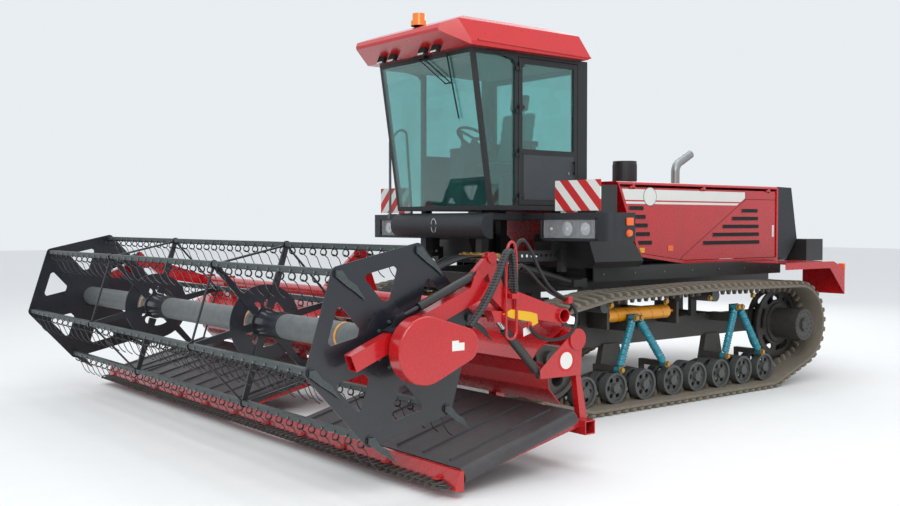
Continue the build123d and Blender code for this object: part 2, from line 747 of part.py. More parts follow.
def hood_outline(inset):
    """The hood's side view; the front edge rakes back towards its foot."""
    return [(hood_front_top_x - inset, hood_top_z - inset), (hood_front_bottom_x - inset, hood_front_low_z + inset),
            (hood_mid_bottom_x - inset, hood_bottom_z + inset), (hood_rear_x + inset, hood_bottom_z + inset),
            (hood_rear_x + inset, hood_top_z - inset)]


def hood_shell():
    """Top, front and rear walls, open at the sides for the panels and open below."""
    ring = side_plate(hood_outline(0), -hood_half_width, hood_half_width)
    ring -= side_plate(hood_outline(hood_wall), -hood_half_width - 1, hood_half_width + 1)
    ring = fillet(ring.edges().filter_by(Axis.X).group_by(Axis.Z)[-1], 28)
    under = block(hood_rear_x + hood_wall, hood_front_bottom_x - 40, -hood_half_width + 60, hood_half_width - 60,
                  hood_bottom_z - 5, hood_front_low_z + hood_wall + 2)
    ring -= under
    pin_y, pin_z = panel_hinge_y, panel_hinge_z
    for x in panel_hinge_x:
        for side in (1, -1):
            ring += block(x - 40, x - 2, side * (pin_y - 30), side * (pin_y + 4), pin_z + 4, hood_top_z - 25)
            ring += rod((x - 40, side * pin_y, pin_z), (x - 2, side * pin_y, pin_z), 11)
            ring += rod((x - 3, side * pin_y, pin_z), (x + 38, side * pin_y, pin_z), 6)
    return ring


panel_hinge_y = hood_half_width - 4
panel_hinge_z = hood_top_z - hood_wall - 26
panel_hinge_x = (-800, -1950, -3150)
panel_thickness = 26


def hood_panel():
    """The whole left side, hung from its top edge."""
    y1 = hood_half_width - 12
    inset = hood_wall + panel_gap
    panel = side_plate(hood_outline(inset), y1 - panel_thickness, y1)
    top_cut = hood_top_z - hood_wall - panel_gap - 22
    panel -= block(hood_rear_x - 10, hood_front_top_x + 10, y1 - panel_thickness - 1, y1 + 1, top_cut, hood_top_z)
    for x in panel_hinge_x:
        panel -= block(x - 46, x + 44, y1 - panel_thickness - 1, y1 + 1, panel_hinge_z - 20, hood_top_z)
        panel += block(x + 2, x + 38, y1 - panel_thickness, y1 + 2, panel_hinge_z - 24, panel_hinge_z)
        panel += rod((x + 2, panel_hinge_y, panel_hinge_z), (x + 38, panel_hinge_y, panel_hinge_z), 11)
        panel -= rod((x - 5, panel_hinge_y, panel_hinge_z), (x + 40, panel_hinge_y, panel_hinge_z),
                     6 + pin_clearance)
    # The raked front edge swings down as the panel opens, so its top corner is set back
    corner_x, corner_z = hood_front_top_x - inset, panel_hinge_z
    corner = [(corner_x + 20, corner_z + 40), (corner_x - 22, corner_z + 40), (corner_x - 27, corner_z),
              (corner_x - 52, corner_z - 96), (corner_x - 30, corner_z - 96)]
    return panel - side_plate(corner, y1 - panel_thickness - 1, y1 + 1)


write("hood_shell", hood_shell())
panel_left = hood_panel()
write("hood_panel_left", panel_left)
write("hood_panel_right", mirror(panel_left, about=Plane.XZ))

grille_outline = [(hood_rear_x, hood_top_z), (grille_rear_top_x, hood_top_z - 6),
                  (grille_rear_bottom_x, grille_bottom_z), (grille_rear_low_x - 120, hood_bottom_z),
                  (hood_rear_x, hood_bottom_z)]
grille = side_plate(grille_outline, -hood_half_width, hood_half_width)
grille = fillet(grille.edges().filter_by(Axis.X).group_by(Axis.Z)[-1], 25)
grille -= block(hood_rear_x - 200, hood_rear_x + 10, -hood_half_width + 40, hood_half_width - 40,
                hood_bottom_z + 40, hood_top_z - 40)
write("rear_grille", grille)

engine_front_x, engine_rear_x = -1500, -2950
engine = block(engine_rear_x, engine_front_x, -frame_beam_y - 40, frame_beam_y + 40, frame_top_z, hood_top_z - 190)
write("engine_block", engine)

intake_x, intake_y = -1290, 450
intake = rod((intake_x, intake_y, hood_top_z), (intake_x, intake_y, hood_top_z + 250), 130)
write("air_intake", intake)

exhaust_points = [(-2330, 300, hood_top_z), (-2330, 300, 2440), (-2600, 300, 2580)]
exhaust_path = FilletPolyline(*exhaust_points, radius=130)
exhaust_ring = Plane(origin=exhaust_path @ 0, z_dir=exhaust_path % 0) * (Circle(50) - Circle(46))
write("exhaust_pipe", sweep(exhaust_ring, path=exhaust_path))

tank_outer_y = 1300
tank_column_y = 1010


def side_tank():
    """A low tank with a faceted flank, and the narrow column above it."""
    foot = hood_bottom_z
    low = side_plate([(34, foot), (136, 1576), (100, 1650), (-395, 1652), (-560, 1500), (-654, 1354), (-640, foot)],
                     pedestal_y + 60, tank_outer_y)
    low = chamfer(low.edges().filter_by(Axis.X).group_by(Axis.Y)[-1].group_by(Axis.Z)[-1], 60)
    column = side_plate([(-335, 2146), (-195, 1640), (-560, 1640), (-560, 2150)], cab_half_width + 12, tank_column_y)
    column -= side_plate(hood_outline(-panel_gap), 0, 3000)
    return low + column - side_plate(hood_outline(-panel_gap), 0, 3000)


write("side_tanks", *both_sides(side_tank()))


def rear_fender():
    """A shelf over the sprocket with a flap that slopes down behind it."""
    y0, y1 = frame_beam_y + 80, track_outer_y - 20
    z = 1330
    top = block(-3400, -2470, track_inner_y - 60, y1, z - 75, z)
    top -= block(-3400, -2460, track_inner_y - 61, y1 - 6, z - 76, z - 6)
    flap = side_plate([(-3400, z), (-3630, z - 90), (-3630, 950), (-3622, 950), (-3622, z - 96),
                       (-3400, z - 8)], track_inner_y - 60, y1)
    gusset = side_plate([(-3400, z), (-3630, z - 90), (-3630, 950), (-3330, z - 75)], y1 - 6, y1)
    arm = block(-3480, -3400, y0 - 5, track_inner_y - 55, z - 60, z - 20)
    return top + flap + gusset + arm


write("rear_fenders", *both_sides(rear_fender()))



def ballast_box():
    """The closed sheet box across the tail."""
    x0, x1 = rear_box_rear_x, rear_box_front_x
    top = 1570
    box = box_tube(x0, x1, -rear_box_half_width, rear_box_half_width, frame_top_z, top, rear_box_wall, along="y")
    ends = block(x0 + 4, x1 - 4, rear_box_half_width - rear_box_wall, rear_box_half_width,
                 frame_top_z + 4, top - 4)
    return box + joined(both_sides(ends))


rear_box_rear_x = -4107.7
rear_box_front_x = -3760
rear_box_half_width = 1120
rear_box_wall = 12
write("rear_box", ballast_box())
tow_x = frame_rear_x - 90


def tow_hitch():
    """A drawbar clevis under the rear cross member: two plates with one drop-pin hole."""
    top = frame_bottom_z + 40 - seat_gap
    plates = [block(tow_x - 90, frame_rear_x + 110, -70, 70, z - 25, z) for z in (top, top - 95)]
    web = block(frame_rear_x + 40, frame_rear_x + 110, -70, 70, top - 120, top)
    hitch = joined(plates + [web])
    return hitch - rod((tow_x, 0, 900), (tow_x, 0, 1250), tow_hole_radius)


tow_hole_radius = 16
write("tow_hitch", tow_hitch())

# ---------------------------------------------------------------- header
deck_angle = math.degrees(math.atan2(deck_rear_z - deck_front_z, deck_front_x - deck_rear_x))
deck_length = math.hypot(deck_front_x - deck_rear_x, deck_rear_z - deck_front_z)
deck_place = Pos(deck_rear_x, 0, deck_rear_z) * Rot(0, deck_angle, 0)
roller_outer = deck_roller_diameter / 2
deck_rib_pitch = 700
deck_rib_width = 40


def deck_z(x):
    """Height of the draper rollers' centre line."""
    return deck_rear_z + (x - deck_rear_x) * (deck_front_z - deck_rear_z) / (deck_front_x - deck_rear_x)


def draper(inner_y, outer_y):
    """A belt loop that runs across the machine round two end rollers, on the sloping deck."""
    a, b = min(inner_y, outer_y), max(inner_y, outer_y)
    middle, span = (a + b) / 2, b - a
    loop = SlotOverall(span, 2 * roller_outer) - SlotOverall(span - 2 * belt_wall, 2 * roller_outer - 2 * belt_wall)
    belt = deck_place * Pos(0, middle, 0) * extrude(Plane.YZ * loop, deck_length)
    core = roller_outer - belt_wall - seat_gap
    rollers = []
    for y in (a + roller_outer, b - roller_outer):
        bar = Plane.YZ * Circle(core)
        rollers.append(deck_place * Pos(0, y, 0) * extrude(bar, deck_length))
    # Ribs of the deck between the two runs of the belt
    inner_span = span - 4 * roller_outer
    count = math.ceil(inner_span / deck_rib_pitch)
    for i in range(1, count):
        y = a + 2 * roller_outer + inner_span * i / count
        rib = Plane.YZ * Rectangle(deck_rib_width, 2 * core)
        rollers.append(deck_place * Pos(0, y, 0) * extrude(rib, deck_length))
    return [belt] + rollers


write("draper_left", *draper(gap_left_y, belt_outer_y))
write("draper_right", *draper(-belt_outer_y, gap_right_y))

low_x, low_z = 1905, 300      # lower rear beam
web_foot = (low_x - 45, low_z + 45)
web_head = (main_tube_x - 65, main_tube_z - 30)
bracket_offsets = (120, 620)  # inboard of the reel arms
bracket_thickness = 24
under_deck = roller_outer / math.cos(math.radians(deck_angle)) + seat_gap
deck_arm_y = (-2945, -2000, -1060, gap_right_y - 60, gap_left_y + 60, 1990, 2945)


def web_x(z):
    """The rear edge of the header's uprights, less the seating gap of the lift arms."""
    share = (z - web_foot[1]) / (web_head[1] - web_foot[1])
    return web_foot[0] + share * (web_head[0] - web_foot[0]) - seat_gap


def reel_bracket(side, offset):
    """One bracket plate between the header's main tube and the reel arms' pivot tube."""
    outline = [(arm_pivot_x - 160, main_tube_z + 40), (arm_pivot_x - 60, arm_pivot_z + 70),
               (arm_pivot_x + 70, arm_pivot_z + 70), (arm_pivot_x + 75, arm_pivot_z - 60),
               (main_tube_x + 60, main_tube_z)]
    y = side * (arm_y - offset)
    return side_plate(outline, y - bracket_thickness / 2, y + bracket_thickness / 2)


def header_frame():
    """Main tube, lower rear beam, uprights, end plates and the arms under the belts."""
    frame = cross_pipe(main_tube_x, main_tube_z, -end_plate_y, end_plate_y, main_tube_radius, main_tube_radius - 9)
    frame += box_tube(low_x - 50, low_x + 50, -belt_outer_y + 40, belt_outer_y - 40, low_z - 50, low_z + 50, 8, "y")
    for y in (-2000, -lift_arm_y, lift_arm_y, 2000):
        web = [web_foot, (low_x + 40, low_z + 45), (main_tube_x + 10, main_tube_z - 60), web_head]
        frame += side_plate(web, y - 45, y + 45)
    for side in (1, -1):
        plate = [(1922, 979), (1990, 1012), (2335, 740), (2335, 680), (1940, 675)]
        y0, y1 = side * end_plate_y, side * (end_plate_y - end_plate_thickness)
        frame += side_plate(plate, y0, y1)
        frame += cross_bar(main_tube_x, main_tube_z, y0, side * (end_plate_y + 14), main_tube_radius + 2)
        post = [(low_x - 40, low_z + 40), (low_x + 30, low_z + 40), (1985, 700), (1940, 700)]
        frame += side_plate(post, y1, side * (end_plate_y - 60))
        x, z = reel_pin_low
        frame += cross_bar(x, z, side * (arm_y - 38), y0, 14)
        support = joined([reel_bracket(side, offset) for offset in bracket_offsets])
        support -= cross_bar(arm_pivot_x, arm_pivot_z, -3000, 3000, cross_tube_radius + pin_clearance)
        frame += support
    return frame


write("header_frame", header_frame())


def deck_arm(y):
    """A tapered bar from the lower rear beam to the cutter beam, under the belts."""
    x0, x1 = low_x + 50 + seat_gap, cutter_beam_front_x - cutter_beam_depth - seat_gap
    low_front = cutter_beam_bottom_z + 6
    slope = [(x0, deck_z(x0) - under_deck - 60), (x0, deck_z(x0) - under_deck),
             (x1, deck_z(x1) - under_deck), (x1, low_front)]
    return side_plate(slope, y - 18, y + 18)


write("deck_arms", *[deck_arm(y) for y in deck_arm_y])


def lift_arms():
    """Triangular arms from the chassis pivot to the header, with the cylinder's ears on top."""
    px, pz = header_pivot_x, header_pivot_z
    fx, fz = lift_pin_front
    outline = [(px - 10, pz - 55), (web_x(420), 420), (web_x(860), 860), (fx + 50, fz + 20), (fx - 20, fz + 52),
               (fx - 52, fz - 20), (px - 50, pz + 30)]
    window = [(px + 130, pz + 40), (1780, 540), (1780, 800), (fx + 40, fz - 140)]
    plate = side_plate(outline, lift_arm_y - 26, lift_arm_y + 26)
    plate -= side_plate(window, lift_arm_y - 30, lift_arm_y + 30)
    plate += cross_bar(px, pz, lift_arm_y - 30, lift_arm_y + 30, 62)
    plate -= cross_bar(px, pz, lift_arm_y - 70, lift_arm_y + 70, 30 + pin_clearance)
    # A fork at the top straddles the cylinder's rod eye
    plate += cross_bar(fx, fz, lift_arm_y - 44, lift_arm_y + 44, 52)
    plate -= block(fx - 80, fx + 80, lift_arm_y - 25, lift_arm_y + 25, fz - 62, fz + 80)
    plate += cross_bar(fx, fz, lift_arm_y - 44, lift_arm_y + 44, 13)
    return plate


write("lift_arms", *both_sides(lift_arms()))


def sheet_outline(line, thickness):
    """A folded sheet's outline: the front skin's points, and back along the mitred rear skin."""
    normals = []
    for (ax, az), (bx, bz) in zip(line, line[1:]):
        length = math.hypot(bx - ax, bz - az)
        normals.append(((bz - az) / length, (ax - bx) / length))
    rear = []
    for i, (x, z) in enumerate(line):
        before, after = normals[max(i - 1, 0)], normals[min(i, len(normals) - 1)]
        mx, mz = before[0] + after[0], before[1] + after[1]
        scale = 2 * thickness / (mx * mx + mz * mz)
        rear.append((x + mx * scale, z + mz * scale))
    return line + rear[::-1]


def back_sheet(y0, y1):
    """The folded sheet behind a belt: a hooded top that lies on the main tube, an upright face and a foot."""
    slope = math.radians(28.4)
    reach = main_tube_radius + seat_gap + sheet_thickness
    touch_x, touch_z = main_tube_x + reach * math.sin(slope), main_tube_z + reach * math.cos(slope)
    line = [(touch_x - 25 * math.cos(slope), touch_z + 25 * math.sin(slope)),
            (touch_x + 280 * math.cos(slope), touch_z - 280 * math.sin(slope)),
            (2329, 797), (2205, 752), (2169, 671), (2157, 576), (2040, 455)]
    sheet = side_plate(sheet_outline(line, sheet_thickness), y0, y1)
    # Slots that let the reel brackets through to the main tube
    slot_half = bracket_thickness / 2 + seat_gap
    for offset in bracket_offsets:
        y = math.copysign(arm_y - offset, y0 + y1)
        sheet -= block(main_tube_x, 2090, y - slot_half, y + slot_half, main_tube_z, main_tube_z + 200)
    return sheet


sheet_end_y = arm_y - 44  # inboard of the reel's lift barrels
sheet_thickness = 6
write("back_sheets", back_sheet(gap_left_y, sheet_end_y), back_sheet(-sheet_end_y, gap_right_y))


def cutter_beam():
    """The beam in front of the belts, its skid shoes and the end pieces."""
    top, front = cutter_beam_top_z, cutter_beam_front_x
    rear = front - cutter_beam_depth
    outline = [(rear, top), (front, top), (front + 40, 60), (front, cutter_beam_bottom_z),
               (rear, cutter_beam_bottom_z)]
    hollow = [(rear + 7, top - 7), (front - 6, top - 7), (front + 30, 65), (front - 2, 54), (rear + 7, 54)]
    beam = side_plate(outline, -header_half_width, header_half_width)
    beam -= side_plate(hollow, -header_half_width + 10, header_half_width - 10)
    for y in (-2600, -1300, 1300, 2600):
        shoe = [(front - 500, 70), (front - 470, 20), (front - 420, 6), (front - 40, 6), (front + 30, 40),
                (front + 30, 62), (rear, 62), (rear, 40), (front - 430, 30)]
        beam += side_plate(shoe, y - 60, y + 60)
    return beam


write("cutter_beam", cutter_beam())

knife_half_length = 3010
knife_section_pitch = 76.2
knife_z = 84


def knife():
    """The reciprocating knife: a flat back with triangular sections on it."""
    back = block(cutter_beam_front_x + 42, cutter_beam_front_x + 62, -knife_half_length, knife_half_length,
                 knife_z, knife_z + 6)
    count = int(2 * knife_half_length / knife_section_pitch)
    points = [(cutter_beam_front_x + 60, -count * knife_section_pitch / 2)]
    for i in range(count):
        y = -count * knife_section_pitch / 2 + i * knife_section_pitch
        points.append((cutter_beam_front_x + 60, y + 4))
        points.append((cutter_beam_front_x + 98, y + knife_section_pitch / 2 - 6))
        points.append((cutter_beam_front_x + 98, y + knife_section_pitch / 2 + 6))
        points.append((cutter_beam_front_x + 60, y + knife_section_pitch - 4))
    points.append((cutter_beam_front_x + 50, points[-1][1]))
    points.append((cutter_beam_front_x + 50, points[0][1]))
    return back + Pos(0, 0, knife_z) * extrude(make_face(Polyline(*points, close=True)), 3)


write("knife", knife())


def knife_guide():
    """The ledger bar under the knife, on the beam's front."""
    return block(cutter_beam_front_x + 35.8, cutter_beam_front_x + 66, -knife_half_length - 40,
                 knife_half_length + 40, knife_z - 10, knife_z - seat_gap)


write("ledger_bar", knife_guide())


def coupler_block():
    """The hydraulic valve block on the header's main tube."""
    seat_z = main_tube_z + main_tube_radius
    valve = block(1900, 2040, 420, 640, seat_z - 8, seat_z + 130)
    return valve - cross_bar(main_tube_x, main_tube_z, 400, 660, main_tube_radius + seat_gap)


write("valve_block", coupler_block())

# ---------------------------------------------------------------- header lift cylinders


def cylinder_barrel(pin, tip, y, outer, bore, length, eye=30, eye_width=40):
    """A closed barrel from its base pin towards the rod's pin."""
    a, b = Vector(pin[0], y, pin[1]), Vector(tip[0], y, tip[1])
    run = (b - a).normalized()
    shell = rod(tuple(a + run * 50), tuple(a + run * length), outer)
    shell -= rod(tuple(a + run * 70), tuple(a + run * (length + 1)), bore)
    shell += rod(tuple(a), tuple(a + run * 52), eye_width / 2 - 1)
    ring = cross_bar(a.X, a.Z, y - eye_width / 2, y + eye_width / 2, eye)
    shell += ring
    return shell - cross_bar(a.X, a.Z, y - eye_width, y + eye_width, 14 + pin_clearance)


def cylinder_rod(pin, tip, y, radius, bore, start, eye=26, eye_width=30, hole=20):
    """The rod with its piston inside the barrel and the open eye at its far end."""
    a, b = Vector(pin[0], y, pin[1]), Vector(tip[0], y, tip[1])
    run = (b - a).normalized()
    shaft = rod(tuple(a + run * start), tuple(b - run * (eye - 2)), radius)
    shaft += rod(tuple(a + run * start), tuple(a + run * (start + 40)), bore - pin_clearance)
    shaft += cross_bar(b.X, b.Z, y - eye_width / 2, y + eye_width / 2, eye)
    return shaft - cross_bar(b.X, b.Z, y - eye_width, y + eye_width, hole)


lift_barrel = cylinder_barrel(lift_pin_rear, lift_pin_front, lift_arm_y, 36, 28, 700, eye=32)
lift_rod = cylinder_rod(lift_pin_rear, lift_pin_front, lift_arm_y, 20, 28, 290, eye=30)
write("lift_barrels", *both_sides(lift_barrel))
write("lift_rods", *both_sides(lift_rod))

# ---------------------------------------------------------------- reel arms
slope_cos, slope_sin = math.cos(math.radians(arm_slope)), math.sin(math.radians(arm_slope))
arm_length = (arm_tip_x - arm_elbow_x) / slope_cos
arm_elbow_z = arm_tip_z + arm_length * slope_sin
reel_bearing_radius = 62
bearing_y = reel_plate_y + 26
shaft_end_y = arm_y - arm_width / 2 - 14
stub_radius = 17


def along_arm(distance, offset=0.0):
    """A point on the arm's front limb, so far behind its tip and so far above its middle."""
    return (arm_tip_x - distance * slope_cos + offset * slope_sin,
            arm_tip_z + distance * slope_sin + offset * slope_cos)


def reel_arm():
    """A straight box limb in front and a deeper tapering limb down to the pivot tube."""
    half = arm_depth / 2
    y0, y1 = arm_y - arm_width / 2, arm_y + arm_width / 2
    front = side_plate([along_arm(0, -half), along_arm(0, half), along_arm(arm_length - 20, half),
                        along_arm(arm_length - 20, -half)], y0, y1)
    front -= side_plate([along_arm(-1, -half + 8), along_arm(-1, half - 8), along_arm(700, half - 8),
                         along_arm(700, -half + 8)], y0 + 8, y1 - 8)
    elbow_low = along_arm(arm_length - 20, -half)
    rear = side_plate([along_arm(arm_length - 80, half), (2733, 1362), (arm_pivot_x + 20, arm_pivot_z + 54),
                       (arm_pivot_x - 20, arm_pivot_z + 48), (arm_pivot_x - 20, arm_pivot_z - 48),
                       (arm_pivot_x + 20, arm_pivot_z - 54), (2620, 1142), elbow_low], y0, y1)
    arm = front + rear
    x, z = reel_pin_high
    lug = side_plate([(x - 60, z + 50), (x - 34, z - 22), (x + 34, z - 22), (x + 70, z + 60)], y0, y1)
    arm += lug
    arm -= block(x - 45, x + 45, arm_y - 19, arm_y + 19, z - 60, z + 48)
    arm += cross_bar(x, z, y0, y1, 14)
    # Ears for the fore-and-aft cylinder's base pin
    ex, ez = shift_pin
    arm += side_plate([along_arm(arm_length - 150, half - 5), (ex + 30, ez - 10), (ex, ez + 26), (ex - 34, ez),
                       (ex - 70, ez - 70)], y0, y0 + 14)
    arm += side_plate([along_arm(arm_length - 150, half - 5), (ex + 30, ez - 10), (ex, ez + 26), (ex - 34, ez),
                       (ex - 70, ez - 70)], y1 - 14, y1)
    arm += cross_bar(ex, ez, y0, y1, 14)
    return arm


shift_offset = arm_depth / 2 + 48
shift_pin = along_arm(arm_length - 60, shift_offset)
shift_tip = along_arm(440, shift_offset)


def reel_arms():
    whole = cross_pipe(arm_pivot_x, arm_pivot_z, -arm_y - 62, arm_y + 62, cross_tube_radius, cross_tube_radius - 8)
    arms = joined(both_sides(reel_arm()))
    arms -= cross_bar(arm_pivot_x, arm_pivot_z, -arm_y - 70, arm_y + 70, cross_tube_radius - 8)
    return whole + arms


write("reel_arms", reel_arms())

shift_barrel = cylinder_barrel(shift_pin, shift_tip, arm_y, 29, 22, 500, eye=28, eye_width=44)
write("shift_barrels", *both_sides(shift_barrel))

# ---------------------------------------------------------------- reel carriage, cover and cylinder rods
sleeve_gap = 3
sleeve_wall = 10
sleeve_half_length = 95
reel_along = ((arm_tip_x - reel_x) * slope_cos - (arm_tip_z - reel_z) * slope_sin)


def carriage():
    """A sleeve that slides on the arm, carrying the reel's bearing below and the rod's lug above."""
    half = arm_depth / 2 + sleeve_gap
    a, b = reel_along - sleeve_half_length, reel_along + sleeve_half_length
    y0, y1 = arm_y - arm_width / 2 - sleeve_gap, arm_y + arm_width / 2 + sleeve_gap

    def limb(grow, y_grow, extra=0.0):
        corners = [along_arm(a - extra, -half - grow), along_arm(a - extra, half + grow),
                   along_arm(b + extra, half + grow), along_arm(b + extra, -half - grow)]
        return side_plate(corners, y0 - y_grow, y1 + y_grow)

    sleeve = limb(sleeve_wall, sleeve_wall)
    hanger = side_plate([along_arm(a, half), along_arm(b, half), (reel_x - 60, reel_z - 20),
                         (reel_x + 60, reel_z - 20)], bearing_y + 17, y0 - sleeve_wall + 1)
    bearing = cross_bar(reel_x, reel_z, bearing_y, y0 - sleeve_wall + 1, reel_bearing_radius)
    lug = side_plate([along_arm(a + 40, half), along_arm(b - 40, half), along_arm(478, shift_offset + 24),
                      along_arm(412, shift_offset + 24)], arm_y - 14, arm_y + 14)
    body = sleeve + hanger + bearing + lug
    body -= limb(0, 0, 5)
    body -= cross_bar(reel_x, reel_z, bearing_y - 1, shaft_end_y, reel_shaft_radius + pin_clearance)
    body -= cross_bar(reel_x, reel_z, bearing_y - 1, arm_y + 90, stub_radius + pin_clearance)
    x, z = shift_tip
    start = Vector(*shift_pin, 0)
    end = Vector(*shift_tip, 0)
    run = (end - start).normalized()
    piston = start + run * 90
    neck = start + run * ((end - start).length - 10)
    body += rod((piston.X, arm_y, piston.Y), (neck.X, arm_y, neck.Y), 14)
    body += rod((piston.X, arm_y, piston.Y), (piston.X + run.X * 30, arm_y, piston.Y + run.Y * 30),
                22 - pin_clearance)
    return body


write("reel_carriages", *both_sides(carriage()))


cover_inner_y = arm_y + arm_width / 2 + sleeve_gap + sleeve_wall + seat_gap + 12


def drive_cover():
    """A teardrop case outside the arm: a big round front over the reel's sprocket and a small rear end."""
    big, small = Pos(reel_x - 45, reel_z - 23) * Circle(217), Pos(reel_x - 345, reel_z - 8) * Circle(115)
    outline = make_hull(big.edges() + small.edges())
    y0, y1 = cover_inner_y - 12, header_half_width
    case = side_face_plate(outline, cover_inner_y, y1)
    case = fillet(case.edges().group_by(Axis.Y)[-1], 16)
    for dx, dz in ((-60, 90), (60, 66)):
        case += cross_bar(reel_x + dx, reel_z + dz, y0, y0 + 20, 18)
    return case - cross_bar(reel_x, reel_z, y0, cover_inner_y + 32, stub_radius + pin_clearance)


write("reel_drive_cover", drive_cover())

# ---------------------------------------------------------------- reel
sector = 360 / bat_count
bat_angles = [first_bat_angle - i * sector for i in range(bat_count)]
bat_points = [polar(bat_circle_radius, a, reel_x, reel_z) for a in bat_angles]
bat_bore = bat_tube_radius + pin_clearance


def reel_tube():
    tube = cross_pipe(reel_x, reel_z, -reel_plate_y, reel_plate_y, reel_tube_radius, reel_tube_radius - 8)
    for side in (1, -1):
        tube += cross_bar(reel_x, reel_z, side * (reel_plate_y - 60), side * (shaft_end_y - 1), reel_shaft_radius)
        tube += cross_bar(reel_x, reel_z, side * (reel_plate_y - 60), side * (reel_plate_y - 44),
                          reel_tube_radius - 4)
    # The drive stub passes under the left arm into the drive cover.
    tube += cross_bar(reel_x, reel_z, shaft_end_y - 5, cover_inner_y + 30, stub_radius)
    return tube


def reel_plate():
    """A six-sided end plate with a window in each sector and a bolted ring in the middle."""
    corner = bat_circle_radius + 52
    outline = make_face(Polyline(*[polar(corner, a) for a in bat_angles], close=True))
    outline = fillet(outline.vertices(), 48)
    window = make_face(Polyline((285, -26), (462, -128), (486, -106), (486, 106), (462, 128), (285, 26), close=True))
    window = fillet(window.vertices(), 20)
    for angle in bat_angles:
        outline -= Rot(0, 0, angle + sector / 2) * window
        outline -= Pos(*polar(bat_circle_radius, angle)) * Circle(bat_bore)
    outline -= Circle(reel_tube_radius + seat_gap)
    plate = side_face_plate(Pos(reel_x, reel_z) * outline, reel_plate_y - plate_thickness, reel_plate_y)
    ring = Sketch() + Circle(236) - Circle(reel_tube_radius + seat_gap)
    plate += side_face_plate(Pos(reel_x, reel_z) * ring, reel_plate_y - 1, reel_plate_y + 8)
    for x, z in bat_points:
        boss = cross_bar(x, z, reel_plate_y - plate_thickness, reel_plate_y + 6, 34)
        plate += boss - cross_bar(x, z, 0, 3000, bat_bore)
    return plate


def spider():
    """An inner disc with two half-moon windows, six arms and a rim of stay rods."""
    disc = Sketch() + Circle(reel_disc_radius) - Circle(reel_tube_radius)
    moon = SlotArc(CenterArc((0, 0), 150, -42, 84), 66)
    for turn in (20, 140, 260):
        disc -= Rot(0, 0, turn) * moon
    arms = Sketch()
    for angle in bat_angles:
        blade = make_face(Polyline((120, -34), (bat_circle_radius - 20, -20), (bat_circle_radius - 20, 20),
                                   (120, 34), close=True))
        arms += Rot(0, 0, angle) * blade
        arms += Pos(*polar(bat_circle_radius, angle)) * Circle(34)
    for angle in bat_angles:
        arms -= Pos(*polar(bat_circle_radius, angle)) * Circle(bat_bore)
    place = Pos(reel_x, reel_z)
    body = side_face_plate(place * disc, spider_y - 3, spider_y + 3)
    body += side_face_plate(place * (arms - Circle(reel_tube_radius + 2)), spider_y - 9, spider_y + 9)
    hub = Sketch() + Circle(reel_tube_radius + 8) - Circle(reel_tube_radius + seat_gap)
    body += side_face_plate(place * hub, spider_y - 45, spider_y + 45)
    corners = [(x, spider_y, z) for x, z in bat_points]
    for i in range(bat_count):
        start, end = Vector(*corners[i]), Vector(*corners[(i + 1) % bat_count])
        run = (end - start).normalized()
        body += rod(tuple(start + run * 26), tuple(end - run * 26), 9)
    return body


write("reel_tube", reel_tube())
write("reel_end_plates", *both_sides(reel_plate()))
write("reel_spiders", *both_sides(spider()))


def bat(x, z):
    """A round pivot bar with flat channel between its bearings, and a curved end finger outside each plate."""
    end = reel_plate_y + 20
    body = cross_bar(x, z, -end, end, bat_tube_radius)
    stops = [-reel_plate_y + 14, -spider_y - 22, -spider_y + 22, spider_y - 22, spider_y + 22, reel_plate_y - 14]
    for i in (0, 2, 4):
        low = z - bat_channel_height / 2 + 8
        body += block(x - bat_channel_width / 2, x + bat_channel_width / 2, stops[i], stops[i + 1],
                      low, low + bat_channel_height)
    finger = [(x - 24, z + 20), (x + 22, z + 20), (x + 24, z - 18), (x - 60, z - 82), (x - 120, z - 120),
              (x - blade_reach, z - blade_drop), (x - 130, z - 78), (x - 70, z - 40)]
    socket = cross_bar(x, z, -end, end, bat_tube_radius + seat_gap)
    fingers = both_sides(side_plate(finger, reel_plate_y + 12, reel_plate_y + 18) - socket)
    return [body] + fingers


for i, (x, z) in enumerate(bat_points):
    write(f"reel_bat_{i + 1}", *bat(x, z))

# ---------------------------------------------------------------- reel lift cylinders
reel_barrel = cylinder_barrel(reel_pin_low, reel_pin_high, arm_y, 32, 25, 480, eye=28, eye_width=36)
reel_rod = cylinder_rod(reel_pin_low, reel_pin_high, arm_y, 17, 25, 120, eye=24)
write("reel_lift_barrels", *both_sides(reel_barrel))
write("reel_lift_rods", *both_sides(reel_rod))
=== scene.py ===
# %% [markdown]
# A tracked windrower cuts a swath six metres wide. A reel of spring tines sweeps the crop over the knife,
# and two rubber drapers carry it sideways to a gap, where it falls in a row for drying.
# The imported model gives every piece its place, so this lesson adds what the plain solids lack:
# tread, tines, guards, hoses, bolts, soft seat cushions, and a real finish on each surface.

# %% Load the frame and measure it
import math
import bpy
import bmesh
from mathutils import Euler, Matrix, Vector


